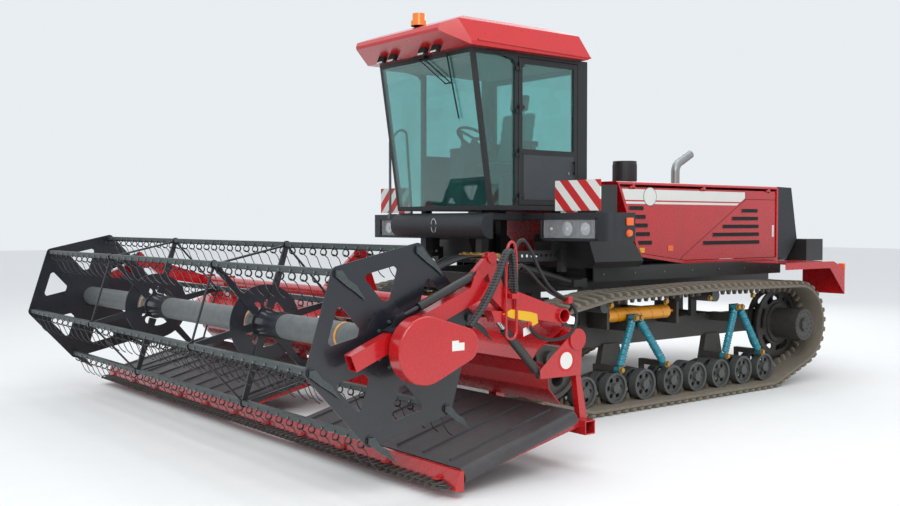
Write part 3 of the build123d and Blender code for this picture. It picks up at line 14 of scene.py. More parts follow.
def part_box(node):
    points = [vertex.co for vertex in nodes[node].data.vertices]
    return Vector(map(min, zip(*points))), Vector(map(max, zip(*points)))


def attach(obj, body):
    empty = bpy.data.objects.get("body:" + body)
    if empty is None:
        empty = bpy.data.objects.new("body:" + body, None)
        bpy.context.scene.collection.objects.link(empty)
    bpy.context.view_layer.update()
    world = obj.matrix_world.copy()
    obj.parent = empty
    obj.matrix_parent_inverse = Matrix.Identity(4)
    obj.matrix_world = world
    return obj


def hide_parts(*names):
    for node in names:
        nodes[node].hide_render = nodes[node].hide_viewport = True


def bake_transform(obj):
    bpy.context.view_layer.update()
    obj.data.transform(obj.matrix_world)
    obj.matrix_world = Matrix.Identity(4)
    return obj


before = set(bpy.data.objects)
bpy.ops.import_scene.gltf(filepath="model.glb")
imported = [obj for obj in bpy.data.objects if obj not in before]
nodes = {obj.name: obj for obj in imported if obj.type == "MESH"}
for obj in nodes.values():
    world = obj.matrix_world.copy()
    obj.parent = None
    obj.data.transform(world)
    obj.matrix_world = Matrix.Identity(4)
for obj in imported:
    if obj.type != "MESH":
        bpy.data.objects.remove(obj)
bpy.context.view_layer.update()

# %% [markdown]
# Blender's shaders work in linear light, and paint charts and pickers give sRGB, so one function turns a
# hex code to linear. A second one adds a node, sets it up and fills its sockets with values or links.
# Every material and every Geometry Nodes tree below is written with that one function.

# %% Colours and nodes


def linear(code, alpha=1.0):
    """An sRGB hex code as a linear colour."""
    channels = [int(code[i:i + 2], 16) / 255 for i in (0, 2, 4)]
    return (*[c / 12.92 if c <= 0.04045 else ((c + 0.055) / 1.055) ** 2.4 for c in channels], alpha)


def add(tree, kind, fills=None, **settings):
    """Adds a node, sets its properties, and fills its sockets with values or links."""
    node = tree.nodes.new(kind)
    for name, value in settings.items():
        setattr(node, name, value)
    for socket, value in (fills or {}).items():
        if isinstance(value, bpy.types.NodeSocket):
            tree.links.new(value, node.inputs[socket])
        else:
            node.inputs[socket].default_value = value
    return node


def blended(tree, share, first, second):
    """The output of a colour mix. Its colour sockets are the seventh and eighth, its result the third."""
    return add(tree, "ShaderNodeMix", {0: share, 6: first, 7: second}, data_type="RGBA").outputs[2]


print("mid grey in linear light", [round(channel, 3) for channel in linear("808080")])

# %% [markdown]
# Most of a farm machine is sheet steel under paint. A paint is rarely one colour: it fades in blotches,
# holds an orange-peel ripple a few millimetres across, and gathers dust low down and on top.
# One function builds that surface, and each paint below gives it its own colours, gloss and dirt.

# %% The painted and moulded surfaces


def surface(name, base, faded, roughness, ripple_mm=6.0, ripple=0.12, dust="8F8575", dust_share=0.0,
            dust_top=1.3, patch_mm=240.0, **shader_values):
    """A material whose tone, dust and gloss vary over the piece, with a fine ripple in its relief."""
    material = bpy.data.materials.new(name)
    material.use_nodes = True
    tree = material.node_tree
    shader = tree.nodes["Principled BSDF"]
    place = add(tree, "ShaderNodeTexCoord").outputs["Object"]
    patch = add(tree, "ShaderNodeTexNoise", {"Vector": place, "Scale": 1000 / patch_mm, "Detail": 5.0,
                                             "Roughness": 0.62})
    tone = blended(tree, patch.outputs["Fac"], linear(base), linear(faded))
    height = add(tree, "ShaderNodeSeparateXYZ", {"Vector": place})
    low = add(tree, "ShaderNodeMapRange", {"Value": height.outputs["Z"],
                                           "From Min": dust_top, "From Max": 0.0,
                                           "To Min": 0.15 * dust_share, "To Max": dust_share})
    grit = add(tree, "ShaderNodeTexNoise", {"Vector": place, "Scale": 26.0, "Detail": 6.0, "Roughness": 0.7})
    cover = add(tree, "ShaderNodeMath", {0: low.outputs["Result"], 1: grit.outputs["Fac"]},
                operation="MULTIPLY")
    dirty = blended(tree, cover.outputs["Value"], tone, linear(dust))
    gloss = add(tree, "ShaderNodeMapRange", {"Value": grit.outputs["Fac"], "From Min": 0.3, "From Max": 0.7,
                                             "To Min": roughness * 0.85,
                                             "To Max": min(1.0, roughness * 1.2 + 0.02)})
    fine = add(tree, "ShaderNodeTexNoise", {"Vector": place, "Scale": 1000 / ripple_mm, "Detail": 3.0})
    relief = add(tree, "ShaderNodeBump", {"Height": fine.outputs["Fac"], "Strength": ripple,
                                          "Distance": 0.002})
    tree.links.new(dirty, shader.inputs["Base Color"])
    tree.links.new(gloss.outputs["Result"], shader.inputs["Roughness"])
    tree.links.new(relief.outputs["Normal"], shader.inputs["Normal"])
    for socket, value in shader_values.items():
        shader.inputs[socket.replace("_", " ")].default_value = value
    return material


print("one maker for every opaque surface")

# %% [markdown]
# Each finish starts from what the real one is made of and how: baked enamel, gel coat, powder coat,
# moulded ABS, vulcanised rubber or plated steel. Its two colours are the fresh tone and the faded one.
# A finer grain than shows from ten metres is drawn as coarse as it needs to show.

# %% Paints, metals and rubbers
# Baked enamel on sheet steel: deep and glossy, with a faint orange peel and a clear top layer.
red_enamel = surface("red_enamel", "C20A16", "A80711", 0.26, Coat_Weight=0.6, Coat_Roughness=0.08,
                     dust_share=0.10)
# Gel-coated glass fibre on the roof: a shade lighter than the steel and smoother.
red_gelcoat = surface("red_gelcoat", "C90F14", "B90A10", 0.30, ripple=0.05, Coat_Weight=0.5,
                      Coat_Roughness=0.12)
# Satin chassis black: hides welds, and field dust shows on it first.
chassis_black = surface("chassis_black_enamel", "17191B", "24272A", 0.42, dust_share=0.35, dust_top=1.5)
# Charcoal moulded ABS of the bumper and the lamp housings: dull, with a leather-like grain.
bumper_abs = surface("grained_abs", "1D2024", "262A2F", 0.48, ripple_mm=2.5, ripple=0.25)
# Powder coat of the cab posts and the door: fine-textured and nearly black.
cab_powder = surface("cab_powder_coat", "141617", "1D2022", 0.45, ripple_mm=1.6, ripple=0.2)
door_sheet = surface("door_powder_coat", "33363A", "3E4145", 0.5, ripple_mm=1.6, ripple=0.2)
# Two-pack black of the reel: it leans to blue and mirrors the sky.
reel_enamel = surface("reel_blue_black_enamel", "11151D", "1A1F29", 0.30, Coat_Weight=0.35,
                      Coat_Roughness=0.15, dust_share=0.12)
# Weathered grey paint of the reel tube, streaked along its length by rain.
tube_grey = surface("weathered_grey_paint", "54585A", "7C8080", 0.45, patch_mm=60, ripple=0.3, Metallic=0.2)
# Hot-dip galvanised steel of the bats: dull grey, with crystals a finger wide.
galvanised = surface("hot_dip_galvanised_steel", "3F4545", "5E6666", 0.42, patch_mm=18, Metallic=0.65)
# Zinc-plated fasteners, and the grey paint of the handrail.
zinc = surface("zinc_plated_steel", "8E9190", "777A7A", 0.35, patch_mm=12, Metallic=0.85)
rail_zinc = surface("grey_rail_paint", "5A5F62", "6B7073", 0.5, patch_mm=60, Metallic=0.3)
# Yellow-passivated nuts and fittings, somewhere between gold and brass.
yellow_zinc = surface("yellow_passivated_zinc", "C29A54", "A98545", 0.32, patch_mm=10, Metallic=0.8)
chrome = surface("hard_chrome_rod", "C8CACC", "B9BCBF", 0.12, patch_mm=30, ripple=0.02, Metallic=1.0)
exhaust_metal = surface("heat_dulled_stainless", "A3A8A8", "8B908F", 0.38, patch_mm=30, Metallic=0.75)
amber_paint = surface("amber_enamel", "E79A12", "D98A0B", 0.3, Coat_Weight=0.4)
teal_paint = surface("teal_spring_enamel", "2C8FA0", "23788A", 0.3, Coat_Weight=0.3)
hub_grey = surface("cast_hub_grey", "3A3F42", "4A4F52", 0.5, dust_share=0.3)
# Vulcanised rubber. The track is grey with field dust, the drapers are darker.
track_rubber = surface("dusty_track_rubber", "57524A", "6E675C", 0.85, ripple_mm=9, ripple=0.8,
                       dust="968B79", dust_share=0.75, dust_top=2.2, patch_mm=90)
draper_rubber = surface("draper_rubber", "1B1C1E", "37353A", 0.45, ripple_mm=14, ripple=0.9, patch_mm=120,
                        dust="6E6A66", dust_share=0.55, dust_top=0.7)
black_rubber = surface("moulded_black_rubber", "0E0F10", "17181A", 0.55, ripple_mm=3)
hose_rubber = surface("hydraulic_hose_rubber", "0F1011", "1B1C1E", 0.38, ripple_mm=2.0, ripple=0.35)
cabin_plastic = surface("cabin_polypropylene", "2A3131", "354040", 0.6, ripple_mm=1.5, ripple=0.2)
headliner = surface("moulded_headliner", "6F7D6C", "7E8C7A", 0.8, ripple_mm=3)
white_film = surface("white_reflective_film", "E4E4DF", "D6D6D1", 0.38)
red_film = surface("red_reflective_film", "C8161C", "B81218", 0.38)
yellow_film = surface("yellow_label_film", "E3B21C", "D6A411", 0.4)
orange_lens = surface("orange_lamp_lens", "F26A12", "E75A0A", 0.18, ripple_mm=4, Coat_Weight=0.6)
amber_lens = surface("amber_beacon_lens", "F08A0C", "E67A05", 0.2, ripple_mm=7, ripple=0.5, Coat_Weight=0.6)
# Near-black for the hood's dark seam joints, also used as painted shade in the slot openings and the
# tensioners' seam grooves.
joint_dark_and_painted_shade = surface("seam_sealant_and_painted_shade", "0A0A0B", "121213", 0.7)
print("paints and rubbers", len(bpy.data.materials))

# %% [markdown]
# Glass gives no colour of its own until light passes through it. The cab's panes are float glass with a
# little iron, which tints them green, so the shader lets light through and the base colour filters it.
# A lamp's outer lens is clear polycarbonate. The seat still wears its delivery film, thin and crinkled.

# %% Glass, lenses and film


crinkle_mm = 45


def clear(name, tint, roughness, alpha, ior, crinkle=0.0):
    """A transparent sheet that keeps its reflections; the tint filters what shows through it."""
    material = bpy.data.materials.new(name)
    material.use_nodes = True
    tree = material.node_tree
    shader = tree.nodes["Principled BSDF"]
    shader.inputs["Base Color"].default_value = linear(tint)
    shader.inputs["Roughness"].default_value = roughness
    shader.inputs["IOR"].default_value = ior
    shader.inputs["Alpha"].default_value = alpha
    place = add(tree, "ShaderNodeTexCoord").outputs["Object"]
    fine = add(tree, "ShaderNodeTexNoise", {"Vector": place, "Scale": 1000 / crinkle_mm, "Detail": 4.0,
                                            "Distortion": 1.5})
    relief = add(tree, "ShaderNodeBump", {"Height": fine.outputs["Fac"], "Strength": crinkle,
                                          "Distance": 0.01})
    tree.links.new(relief.outputs["Normal"], shader.inputs["Normal"])
    material.surface_render_method = "BLENDED"
    return material


def tinted_pane(name, through, body, share):
    """Float glass: light passes tinted, the surface mirrors more at a slant, and a trace of colour stays."""
    material = bpy.data.materials.new(name)
    material.use_nodes = True
    tree = material.node_tree
    tree.nodes.remove(tree.nodes["Principled BSDF"])
    passing = add(tree, "ShaderNodeBsdfTransparent", {"Color": linear(through)})
    colour = add(tree, "ShaderNodeBsdfDiffuse", {"Color": linear(body)})
    mirror = add(tree, "ShaderNodeBsdfGlossy", {"Color": linear("FFFFFF"), "Roughness": 0.02})
    smear = add(tree, "ShaderNodeTexNoise", {"Vector": add(tree, "ShaderNodeTexCoord").outputs["Object"],
                                             "Scale": 3.0, "Detail": 5.0})
    haze = add(tree, "ShaderNodeMapRange", {"Value": smear.outputs["Fac"], "From Min": 0.3, "From Max": 0.8,
                                            "To Min": share * 0.6, "To Max": share * 1.5})
    glass = add(tree, "ShaderNodeMixShader", {0: haze.outputs["Result"], 1: passing.outputs["BSDF"],
                                              2: colour.outputs["BSDF"]})
    slant = add(tree, "ShaderNodeLayerWeight", {"Blend": 0.3})
    gleam = add(tree, "ShaderNodeMapRange", {"Value": slant.outputs["Facing"], "To Min": 0.03,
                                             "To Max": 0.35})
    whole = add(tree, "ShaderNodeMixShader", {0: gleam.outputs["Result"], 1: glass.outputs["Shader"],
                                              2: mirror.outputs["BSDF"]})
    tree.links.new(whole.outputs["Shader"], tree.nodes["Material Output"].inputs["Surface"])
    material.surface_render_method = "BLENDED"
    return material


cab_glass = tinted_pane("green_tinted_float_glass", "CFEDEC", "2E8F86", 0.10)
lamp_lens = clear("clear_polycarbonate_lens", "DDE2E3", 0.06, 0.25, 1.58, 0.15)
delivery_film = clear("crinkled_polythene_film", "3FB2A4", 0.22, 0.55, 1.5, 1.0)
print("clear materials", [clear_one.name for clear_one in (cab_glass, lamp_lens, delivery_film)])

# %% [markdown]
# Each finished piece is a plain mesh at the origin that rides on one body. Small makers follow: `piece`
# turns a bmesh or mesh into such an object, `box`, `disc` and `plate` fill a bmesh, and `tube` sweeps a
# round section along a smooth spline, which is how a hose, a wire or a hand hoop is drawn.

# %% Mesh makers


def piece(name, mesh, material, body, slot, smooth=30, bevel=0.0):
    """A finished mesh as an object on a body, with its edges eased. Its slot argument is not used."""
    if isinstance(mesh, bmesh.types.BMesh):
        filled = bpy.data.meshes.new(name)
        mesh.to_mesh(filled)
        mesh.free()
        mesh = filled
    made = bpy.data.objects.new(name, mesh)
    bpy.context.scene.collection.objects.link(made)
    if material:
        made.data.materials.clear()
        made.data.materials.append(material)
    if bevel:
        edge = made.modifiers.new("eased_edges", "BEVEL")
        edge.width = bevel
        edge.segments = 2
        edge.limit_method = "ANGLE"
    for polygon in made.data.polygons:
        polygon.use_smooth = True
    made.data.set_sharp_from_angle(angle=math.radians(smooth))
    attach(made, body)
    return made


def box(bm, low, high, turn=None):
    """A block between two corners, turned about its own middle."""
    low, high = Vector(low), Vector(high)
    middle, size = (low + high) / 2, high - low
    place = Matrix.Translation(middle) @ (turn or Matrix()) @ Matrix.Diagonal((*[abs(s) for s in size], 1))
    bmesh.ops.create_cube(bm, size=1, matrix=place)
    return bm


def disc(bm, start, end, radius, tip=None, sides=32):
    """A round bar, or a cone when it has a tip radius, between two points."""
    start, end = Vector(start), Vector(end)
    run = end - start
    place = Matrix.Translation((start + end) / 2) @ run.to_track_quat("Z", "Y").to_matrix().to_4x4()
    bmesh.ops.create_cone(bm, cap_ends=True, segments=sides, radius1=radius,
                          radius2=radius if tip is None else tip, depth=run.length, matrix=place)
    return bm


def plate(bm, points, across, thickness, axis="y"):
    """A flat outline drawn in XZ at a Y station, in XY at a height, or in YZ at an X station, made thick."""
    order = {"y": lambda a, b, c: (a, c, b), "z": lambda a, b, c: (a, b, c),
             "x": lambda a, b, c: (c, a, b)}[axis]
    near = [bm.verts.new(order(a, b, across)) for a, b in points]
    far = [bm.verts.new(order(a, b, across + thickness)) for a, b in points]
    count = len(points)
    faces = [bm.faces.new(near), bm.faces.new(far[::-1])]
    for i in range(count):
        j = (i + 1) % count
        faces.append(bm.faces.new((near[i], far[i], far[j], near[j])))
    bmesh.ops.recalc_face_normals(bm, faces=faces)
    return bm


def ring(bm, centre, outer, inner, y0, y1, sides=48):
    """A flat washer about a crosswise axis."""
    loops = []
    for radius, y in ((outer, y0), (outer, y1), (inner, y1), (inner, y0)):
        loops.append([bm.verts.new((centre[0] + radius * math.cos(2 * math.pi * i / sides), y,
                                    centre[1] + radius * math.sin(2 * math.pi * i / sides)))
                      for i in range(sides)])
    faces = []
    for a in range(4):
        for i in range(sides):
            j = (i + 1) % sides
            after = loops[(a + 1) % 4]
            faces.append(bm.faces.new((loops[a][i], loops[a][j], after[j], after[i])))
    bmesh.ops.recalc_face_normals(bm, faces=faces)
    return bm


def evaluated_mesh(source):
    """A plain mesh of an object as its modifiers or its curve shape it."""
    bpy.context.view_layer.update()
    ready = source.evaluated_get(bpy.context.evaluated_depsgraph_get())
    return bpy.data.meshes.new_from_object(ready, depsgraph=bpy.context.evaluated_depsgraph_get())


def tube(points, radius, sides=3, smoothness=6, order=3):
    """The mesh of a round bar that follows a smooth spline through a list of points."""
    line = bpy.data.curves.new("line", "CURVE")
    line.dimensions = "3D"
    line.bevel_depth = radius
    line.bevel_resolution = sides
    line.resolution_u = smoothness
    line.use_fill_caps = True
    spline = line.splines.new("NURBS")
    spline.points.add(len(points) - 1)
    for point, place in zip(spline.points, points):
        point.co = (*place, 1.0)
    spline.order_u = order
    spline.use_endpoint_u = True
    holder = bpy.data.objects.new("line", line)
    bpy.context.scene.collection.objects.link(holder)
    mesh = evaluated_mesh(holder)
    bpy.data.objects.remove(holder)
    return mesh


def gathered(meshes):
    """Several meshes as one bmesh."""
    bm = bmesh.new()
    for mesh in meshes:
        bm.from_mesh(mesh)
    return bm


def free_piece(name, meshes, material):
    """Several meshes as one smooth object that rides on no body."""
    whole = gathered(meshes)
    mesh = bpy.data.meshes.new(name)
    whole.to_mesh(mesh)
    whole.free()
    made = bpy.data.objects.new(name, mesh)
    bpy.context.scene.collection.objects.link(made)
    mesh.materials.append(material)
    for polygon in mesh.polygons:
        polygon.use_smooth = True
    return made


print("makers for pieces, blocks, discs, plates, rings and tubes")

# %% [markdown]
# Tines, guards, lugs, bolts and cleats repeat by the hundred. Three Geometry Nodes trees place them:
# `row` sets copies along a straight line at a fixed step, `loop` sends them round a closed path and turns
# each one to face outwards, and `spots` puts one at each point of a mesh, turned as that point says.
# Each tree ends in Realize Instances and Set Material, so that the result is one plain mesh.

# %% Trees for what repeats


def new_tree(name, inputs):
    """A geometry tree with a mesh going in and out, and one named input for each size."""
    tree = bpy.data.node_groups.new(name, "GeometryNodeTree")
    tree.interface.new_socket("Geometry", in_out="INPUT", socket_type="NodeSocketGeometry")
    tree.interface.new_socket("Geometry", in_out="OUTPUT", socket_type="NodeSocketGeometry")
    for label, kind in inputs:
        tree.interface.new_socket(label, in_out="INPUT", socket_type=kind)
    return tree, add(tree, "NodeGroupInput")


def close_tree(tree, enter, points, turn=None):
    """Puts the part on the points, makes the copies real and gives them their material."""
    part = add(tree, "GeometryNodeObjectInfo", {"Object": enter.outputs["Part"]})
    fills = {"Points": points, "Instance": part.outputs["Geometry"]}
    if turn:
        fills["Rotation"] = turn
    copies = add(tree, "GeometryNodeInstanceOnPoints", fills)
    real = add(tree, "GeometryNodeRealizeInstances", {"Geometry": copies.outputs["Instances"]})
    painted = add(tree, "GeometryNodeSetMaterial", {"Geometry": real.outputs["Geometry"],
                                                    "Material": enter.outputs["Material"]})
    add(tree, "NodeGroupOutput", {"Geometry": painted.outputs["Geometry"]})


part_inputs = [("Part", "NodeSocketObject"), ("Material", "NodeSocketMaterial")]

row_tree, enter = new_tree("row_of_parts", part_inputs + [
    ("Count", "NodeSocketInt"), ("Start", "NodeSocketVector"), ("Step", "NodeSocketVector")])
stations = add(row_tree, "GeometryNodeMeshLine", {"Count": enter.outputs["Count"],
                                                  "Start Location": enter.outputs["Start"],
                                                  "Offset": enter.outputs["Step"]})
close_tree(row_tree, enter, stations.outputs["Mesh"])

loop_tree, enter = new_tree("parts_round_a_loop", part_inputs + [
    ("Count", "NodeSocketInt"), ("Shift", "NodeSocketVector")])
path = add(loop_tree, "GeometryNodeMeshToCurve", {"Mesh": enter.outputs["Geometry"]})
spaced = add(loop_tree, "GeometryNodeResampleCurve", {"Curve": path.outputs["Curve"],
                                                      "Count": enter.outputs["Count"]})
along = add(loop_tree, "GeometryNodeInputTangent")
outwards = add(loop_tree, "ShaderNodeVectorMath", {0: along.outputs["Tangent"], 1: (0.0, 1.0, 0.0)},
               operation="CROSS_PRODUCT")
facing = add(loop_tree, "FunctionNodeAlignRotationToVector", {"Vector": along.outputs["Tangent"]}, axis="X")
upright = add(loop_tree, "FunctionNodeAlignRotationToVector",
              {"Rotation": facing.outputs["Rotation"], "Vector": outwards.outputs["Vector"]},
              axis="Z", pivot_axis="X")
shifted = add(loop_tree, "GeometryNodeSetPosition", {"Geometry": spaced.outputs["Curve"],
                                                     "Offset": enter.outputs["Shift"]})
close_tree(loop_tree, enter, shifted.outputs["Geometry"], upright.outputs["Rotation"])

spot_tree, enter = new_tree("parts_on_spots", part_inputs)
turned = add(spot_tree, "GeometryNodeInputNamedAttribute", {"Name": "turn"}, data_type="FLOAT_VECTOR")
angles = add(spot_tree, "FunctionNodeEulerToRotation", {"Euler": turned.outputs["Attribute"]})
close_tree(spot_tree, enter, enter.outputs["Geometry"], angles.outputs["Rotation"])
print("trees", [tree.name for tree in (row_tree, loop_tree, spot_tree)])

# %% [markdown]
# A tree needs a base object, a part and its sizes. `repeated` fills each input by its socket's own
# identifier, evaluates the object once and keeps only the plain mesh. `spots` and `on_circle` lay out the
# places where bolts stand, and each place carries the turn of the bolt on it.

# %% Running a tree

def repeated(tree, part, base, material, **sizes):
    """Runs a tree on a base mesh with a part and its sizes, and returns the plain mesh."""
    if isinstance(part, bmesh.types.BMesh):
        shape = bpy.data.meshes.new("part")
        part.to_mesh(shape)
        part.free()
        part = shape
    pattern = bpy.data.objects.new("pattern", part)
    holder = bpy.data.objects.new("holder", base or bpy.data.meshes.new("empty"))
    for made in (pattern, holder):
        bpy.context.scene.collection.objects.link(made)
    modifier = holder.modifiers.new("copies", "NODES")
    modifier.node_group = tree
    values = {"Part": pattern, "Material": material, **sizes}
    for item in tree.interface.items_tree:
        if item.in_out == "INPUT" and item.name in values:
            modifier[item.identifier] = values[item.name]
    mesh = evaluated_mesh(holder)
    bpy.data.objects.remove(holder)
    bpy.data.objects.remove(pattern)
    return mesh


def spots(places):
    """A mesh of loose points; each carries the turn of the part that will stand on it."""
    mesh = bpy.data.meshes.new("spots")
    mesh.from_pydata([place for place, turn in places], [], [])
    turns = mesh.attributes.new("turn", "FLOAT_VECTOR", "POINT")
    turns.data.foreach_set("vector", [value for place, turn in places for value in turn])
    return mesh


def on_circle(centre, radius, y, count, start=0.0, facing=1):
    """Places evenly round a crosswise axis, each facing along it."""
    turn = (-math.pi / 2 * facing, 0.0, 0.0)
    return [((centre[0] + radius * math.cos(start + 2 * math.pi * i / count), y,
              centre[1] + radius * math.sin(start + 2 * math.pi * i / count)), turn) for i in range(count)]


def hex_bolt(across, height, washer=1.25):
    """A hexagon head on its washer, standing on z = 0."""
    bm = disc(bmesh.new(), (0, 0, 0), (0, 0, height * 0.25), across / 2 * washer, sides=12)
    disc(bm, (0, 0, height * 0.25), (0, 0, height), across / 2, across / 2 * 0.94, sides=6)
    return bm


print("places on a ring of six", len(on_circle((0.0, 0.0), 1.0, 0.0, 6)))

# %% [markdown]
# The camera stands at eye height off the machine's left front corner, eleven metres from its middle.
# Its place is in metres and its lens in millimetres. The light is a soft studio: one large key panel on
# the camera's side, one overhead, a weaker one behind, and a pale world that paint and glass reflect.

# %% Camera, floor and light
camera = bpy.data.objects.new("camera", bpy.data.cameras.new("camera"))
bpy.context.scene.collection.objects.link(camera)
camera.location = (7.2418, 8.1556, 1.7666)
camera_back = Vector((0.61958, 0.78438, 0.02941))
camera.rotation_mode = "QUATERNION"
camera.rotation_quaternion = (-camera_back).to_track_quat("-Z", "Y")
camera.data.sensor_width = 36.0
camera.data.lens = 41.19
camera.data.clip_end = 200.0
bpy.context.scene.camera = camera

floor_bm = bmesh.new()
bmesh.ops.create_grid(floor_bm, x_segments=1, y_segments=1, size=60)
floor_mesh = bpy.data.meshes.new("studio_floor")
floor_bm.to_mesh(floor_mesh)
floor_bm.free()
floor = bpy.data.objects.new("studio_floor", floor_mesh)
bpy.context.scene.collection.objects.link(floor)
floor_paint = surface("pale_studio_floor", "EDEDEC", "E8E8E7", 0.75, ripple=0.0)
floor.data.materials.append(floor_paint)

world = bpy.data.worlds.new("studio")
bpy.context.scene.world = world
world.use_nodes = True
world.node_tree.nodes["Background"].inputs["Color"].default_value = linear("EEF3F8")
world.node_tree.nodes["Background"].inputs["Strength"].default_value = 0.95
bpy.context.scene.view_settings.view_transform = "Standard"


def panel_light(name, place, target, size, watts, tint="FFFFFF"):
    """A square light panel that faces a point."""
    light = bpy.data.lights.new(name, "AREA")
    light.size = size
    light.energy = watts
    light.color = linear(tint)[:3]
    holder = bpy.data.objects.new(name, light)
    bpy.context.scene.collection.objects.link(holder)
    holder.location = place
    holder.rotation_mode = "QUATERNION"
    holder.rotation_quaternion = (Vector(target) - Vector(place)).to_track_quat("-Z", "Y")


panel_light("key_panel", (7.0, 9.5, 8.5), (0.0, 0.5, 1.2), 6.0, 620)
panel_light("top_panel", (-1.0, 0.0, 11.0), (0.0, 0.0, 0.0), 9.0, 380)
panel_light("back_panel", (-9.0, -7.0, 6.0), (0.0, 0.0, 1.5), 6.0, 250)
print("camera at", list(camera.location))

# %% [markdown]
# The plain solids that need no more detail keep their own shape and only take a finish. Their corners
# stay as imported, though a real edge always catches a thin line of light.

# %% Finishes of the imported pieces
finishes = {
    red_enamel: ["hood_shell", "hood_panel_left", "hood_panel_right", "rear_fenders", "header_frame",
                 "lift_arms", "deck_arms", "back_sheets", "reel_arms", "reel_drive_cover", "cutter_beam"],
    red_gelcoat: ["cab_roof"],
    chassis_black: ["main_frame", "track_frames", "side_tanks", "rear_box", "drive_sprockets", "front_idlers",
                    "access_rails", "tow_hitch", "lift_barrels", "reel_lift_barrels", "shift_barrels",
                    "engine_block", "air_intake", "ledger_bar"],
    hub_grey: ["road_rollers"],
    bumper_abs: ["front_bumper", "rear_grille"],
    cab_powder: ["cab_frame", "cab_door"],
    rail_zinc: ["handrail"],
    reel_enamel: ["reel_end_plates", "reel_spiders", "reel_carriages"],
    tube_grey: ["reel_tube"],
    galvanised: [f"reel_bat_{i}" for i in range(1, 7)],
    chrome: ["lift_rods", "reel_lift_rods"],
    exhaust_metal: ["exhaust_pipe"],
    amber_paint: ["track_tensioners"],
    teal_paint: ["shock_absorbers"],
    track_rubber: ["tracks"],
    draper_rubber: ["draper_left", "draper_right"],
    zinc: ["knife", "valve_block"],
    cab_glass: ["cab_glass", "door_glass"],
    lamp_lens: ["headlights"],
    cabin_plastic: ["driver_controls"],
    amber_lens: ["beacon"],
    red_film: ["warning_boards"],
    black_rubber: ["driver_seat"],
}
for material, names in finishes.items():
    for name in names:
        nodes[name].data.materials.clear()
        nodes[name].data.materials.append(material)
print("plain nodes with a finish", sum(len(names) for names in finishes.values()), "of", len(nodes))

# %% [markdown]
# A rubber track is a steel-corded belt with tread bars outside and guide lugs inside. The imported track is
# one plain loop, so this piece takes its place: the path is the tight line round all the wheels, found as
# the hull of their rims, the belt is lofted along it, and Geometry Nodes sends the bars round. Bars come
# in two staggered half-width rows, slanted, because a slanted bar rolls on to the ground bit by bit.

# %% Rubber tracks
track_y, belt_half = 1.47, 0.25
carcass, bar_top = 0.036, 0.070
sprocket_axle = (-2.75, 0.655)
wheels = [(*sprocket_axle, 0.405), (0.92, 0.56, 0.37), (0.482, 0.217, 0.147), (-2.264, 0.217, 0.147),
          (0.23, 0.989, 0.06), (-1.41, 1.019, 0.06)]


def hull(points):
    """The corners of the tight loop round a cloud of points, the top run going forwards."""
    points = sorted(points)

    def half(cloud):
        line = []
        for p in cloud:
            while len(line) > 1 and ((line[-1][0] - line[-2][0]) * (p[1] - line[-2][1])
                                     - (line[-1][1] - line[-2][1]) * (p[0] - line[-2][0])) >= 0:
                line.pop()
            line.append(p)
        return line

    return half(points)[:-1] + half(points[::-1])[:-1]


def track_path(height, start=0.0, count=720):
    """Evenly spaced points along the belt's line at a height over the wheels' rims."""
    rim = [(x + (r + height) * math.cos(a * math.pi / 180), z + (r + height) * math.sin(a * math.pi / 180))
           for x, z, r in wheels for a in range(0, 360, 3)]
    corners = hull(rim)
    lengths = [math.dist(a, b) for a, b in zip(corners, corners[1:] + corners[:1])]
    total = sum(lengths)
    points = []
    for i in range(count):
        left = (start + total * i / count) % total
        k = 0
        while left > lengths[k]:
            left -= lengths[k]
            k += 1
        a, b = corners[k], corners[(k + 1) % len(corners)]
        share = left / lengths[k]
        points.append((a[0] + (b[0] - a[0]) * share, a[1] + (b[1] - a[1]) * share))
    return points, total


def path_mesh(height, start=0.0):
    """The belt's line as a closed wire, for the loop tree."""
    points, total = track_path(height, start)
    mesh = bpy.data.meshes.new("track_line")
    count = len(points)
    mesh.from_pydata([(x, 0.0, z) for x, z in points], [(i, (i + 1) % count) for i in range(count)], [])
    return mesh, total


print("belt length", round(track_path(0.0)[1], 3), "m round", len(wheels), "wheels")

# %% [markdown]
# The belt's section is a flat band with rounded shoulders. A tread bar is wide at its root and thins
# towards its top, and a guide lug is a tapered tooth that keeps the belt on its rollers. Each is built
# once, at the origin, with +Z pointing away from the wheels.

# %% Belt, tread bars and guide lugs
def belt_carcass():
    """The belt lofted along its line, with rounded shoulders."""
    points, total = track_path(0.0)
    count = len(points)
    section = [(-belt_half, 0.004), (-belt_half + 0.012, 0.0), (belt_half - 0.012, 0.0), (belt_half, 0.004),
               (belt_half, carcass - 0.008), (belt_half - 0.018, carcass), (-belt_half + 0.018, carcass),
               (-belt_half, carcass - 0.008)]
    bm = bmesh.new()
    rings = []
    for i, (x, z) in enumerate(points):
        (ax, az), (bx, bz) = points[i - 1], points[(i + 1) % count]
        run = math.dist((ax, az), (bx, bz))
        out_x, out_z = -(bz - az) / run, (bx - ax) / run
        rings.append([bm.verts.new((x + out_x * h, y, z + out_z * h)) for y, h in section])
    for i in range(count):
        after = rings[(i + 1) % count]
        for k in range(len(section)):
            m = (k + 1) % len(section)
            bm.faces.new((rings[i][k], after[k], after[m], rings[i][m]))
    bmesh.ops.recalc_face_normals(bm, faces=bm.faces)
    made = bpy.data.meshes.new("belt")
    bm.to_mesh(made)
    bm.free()
    return made


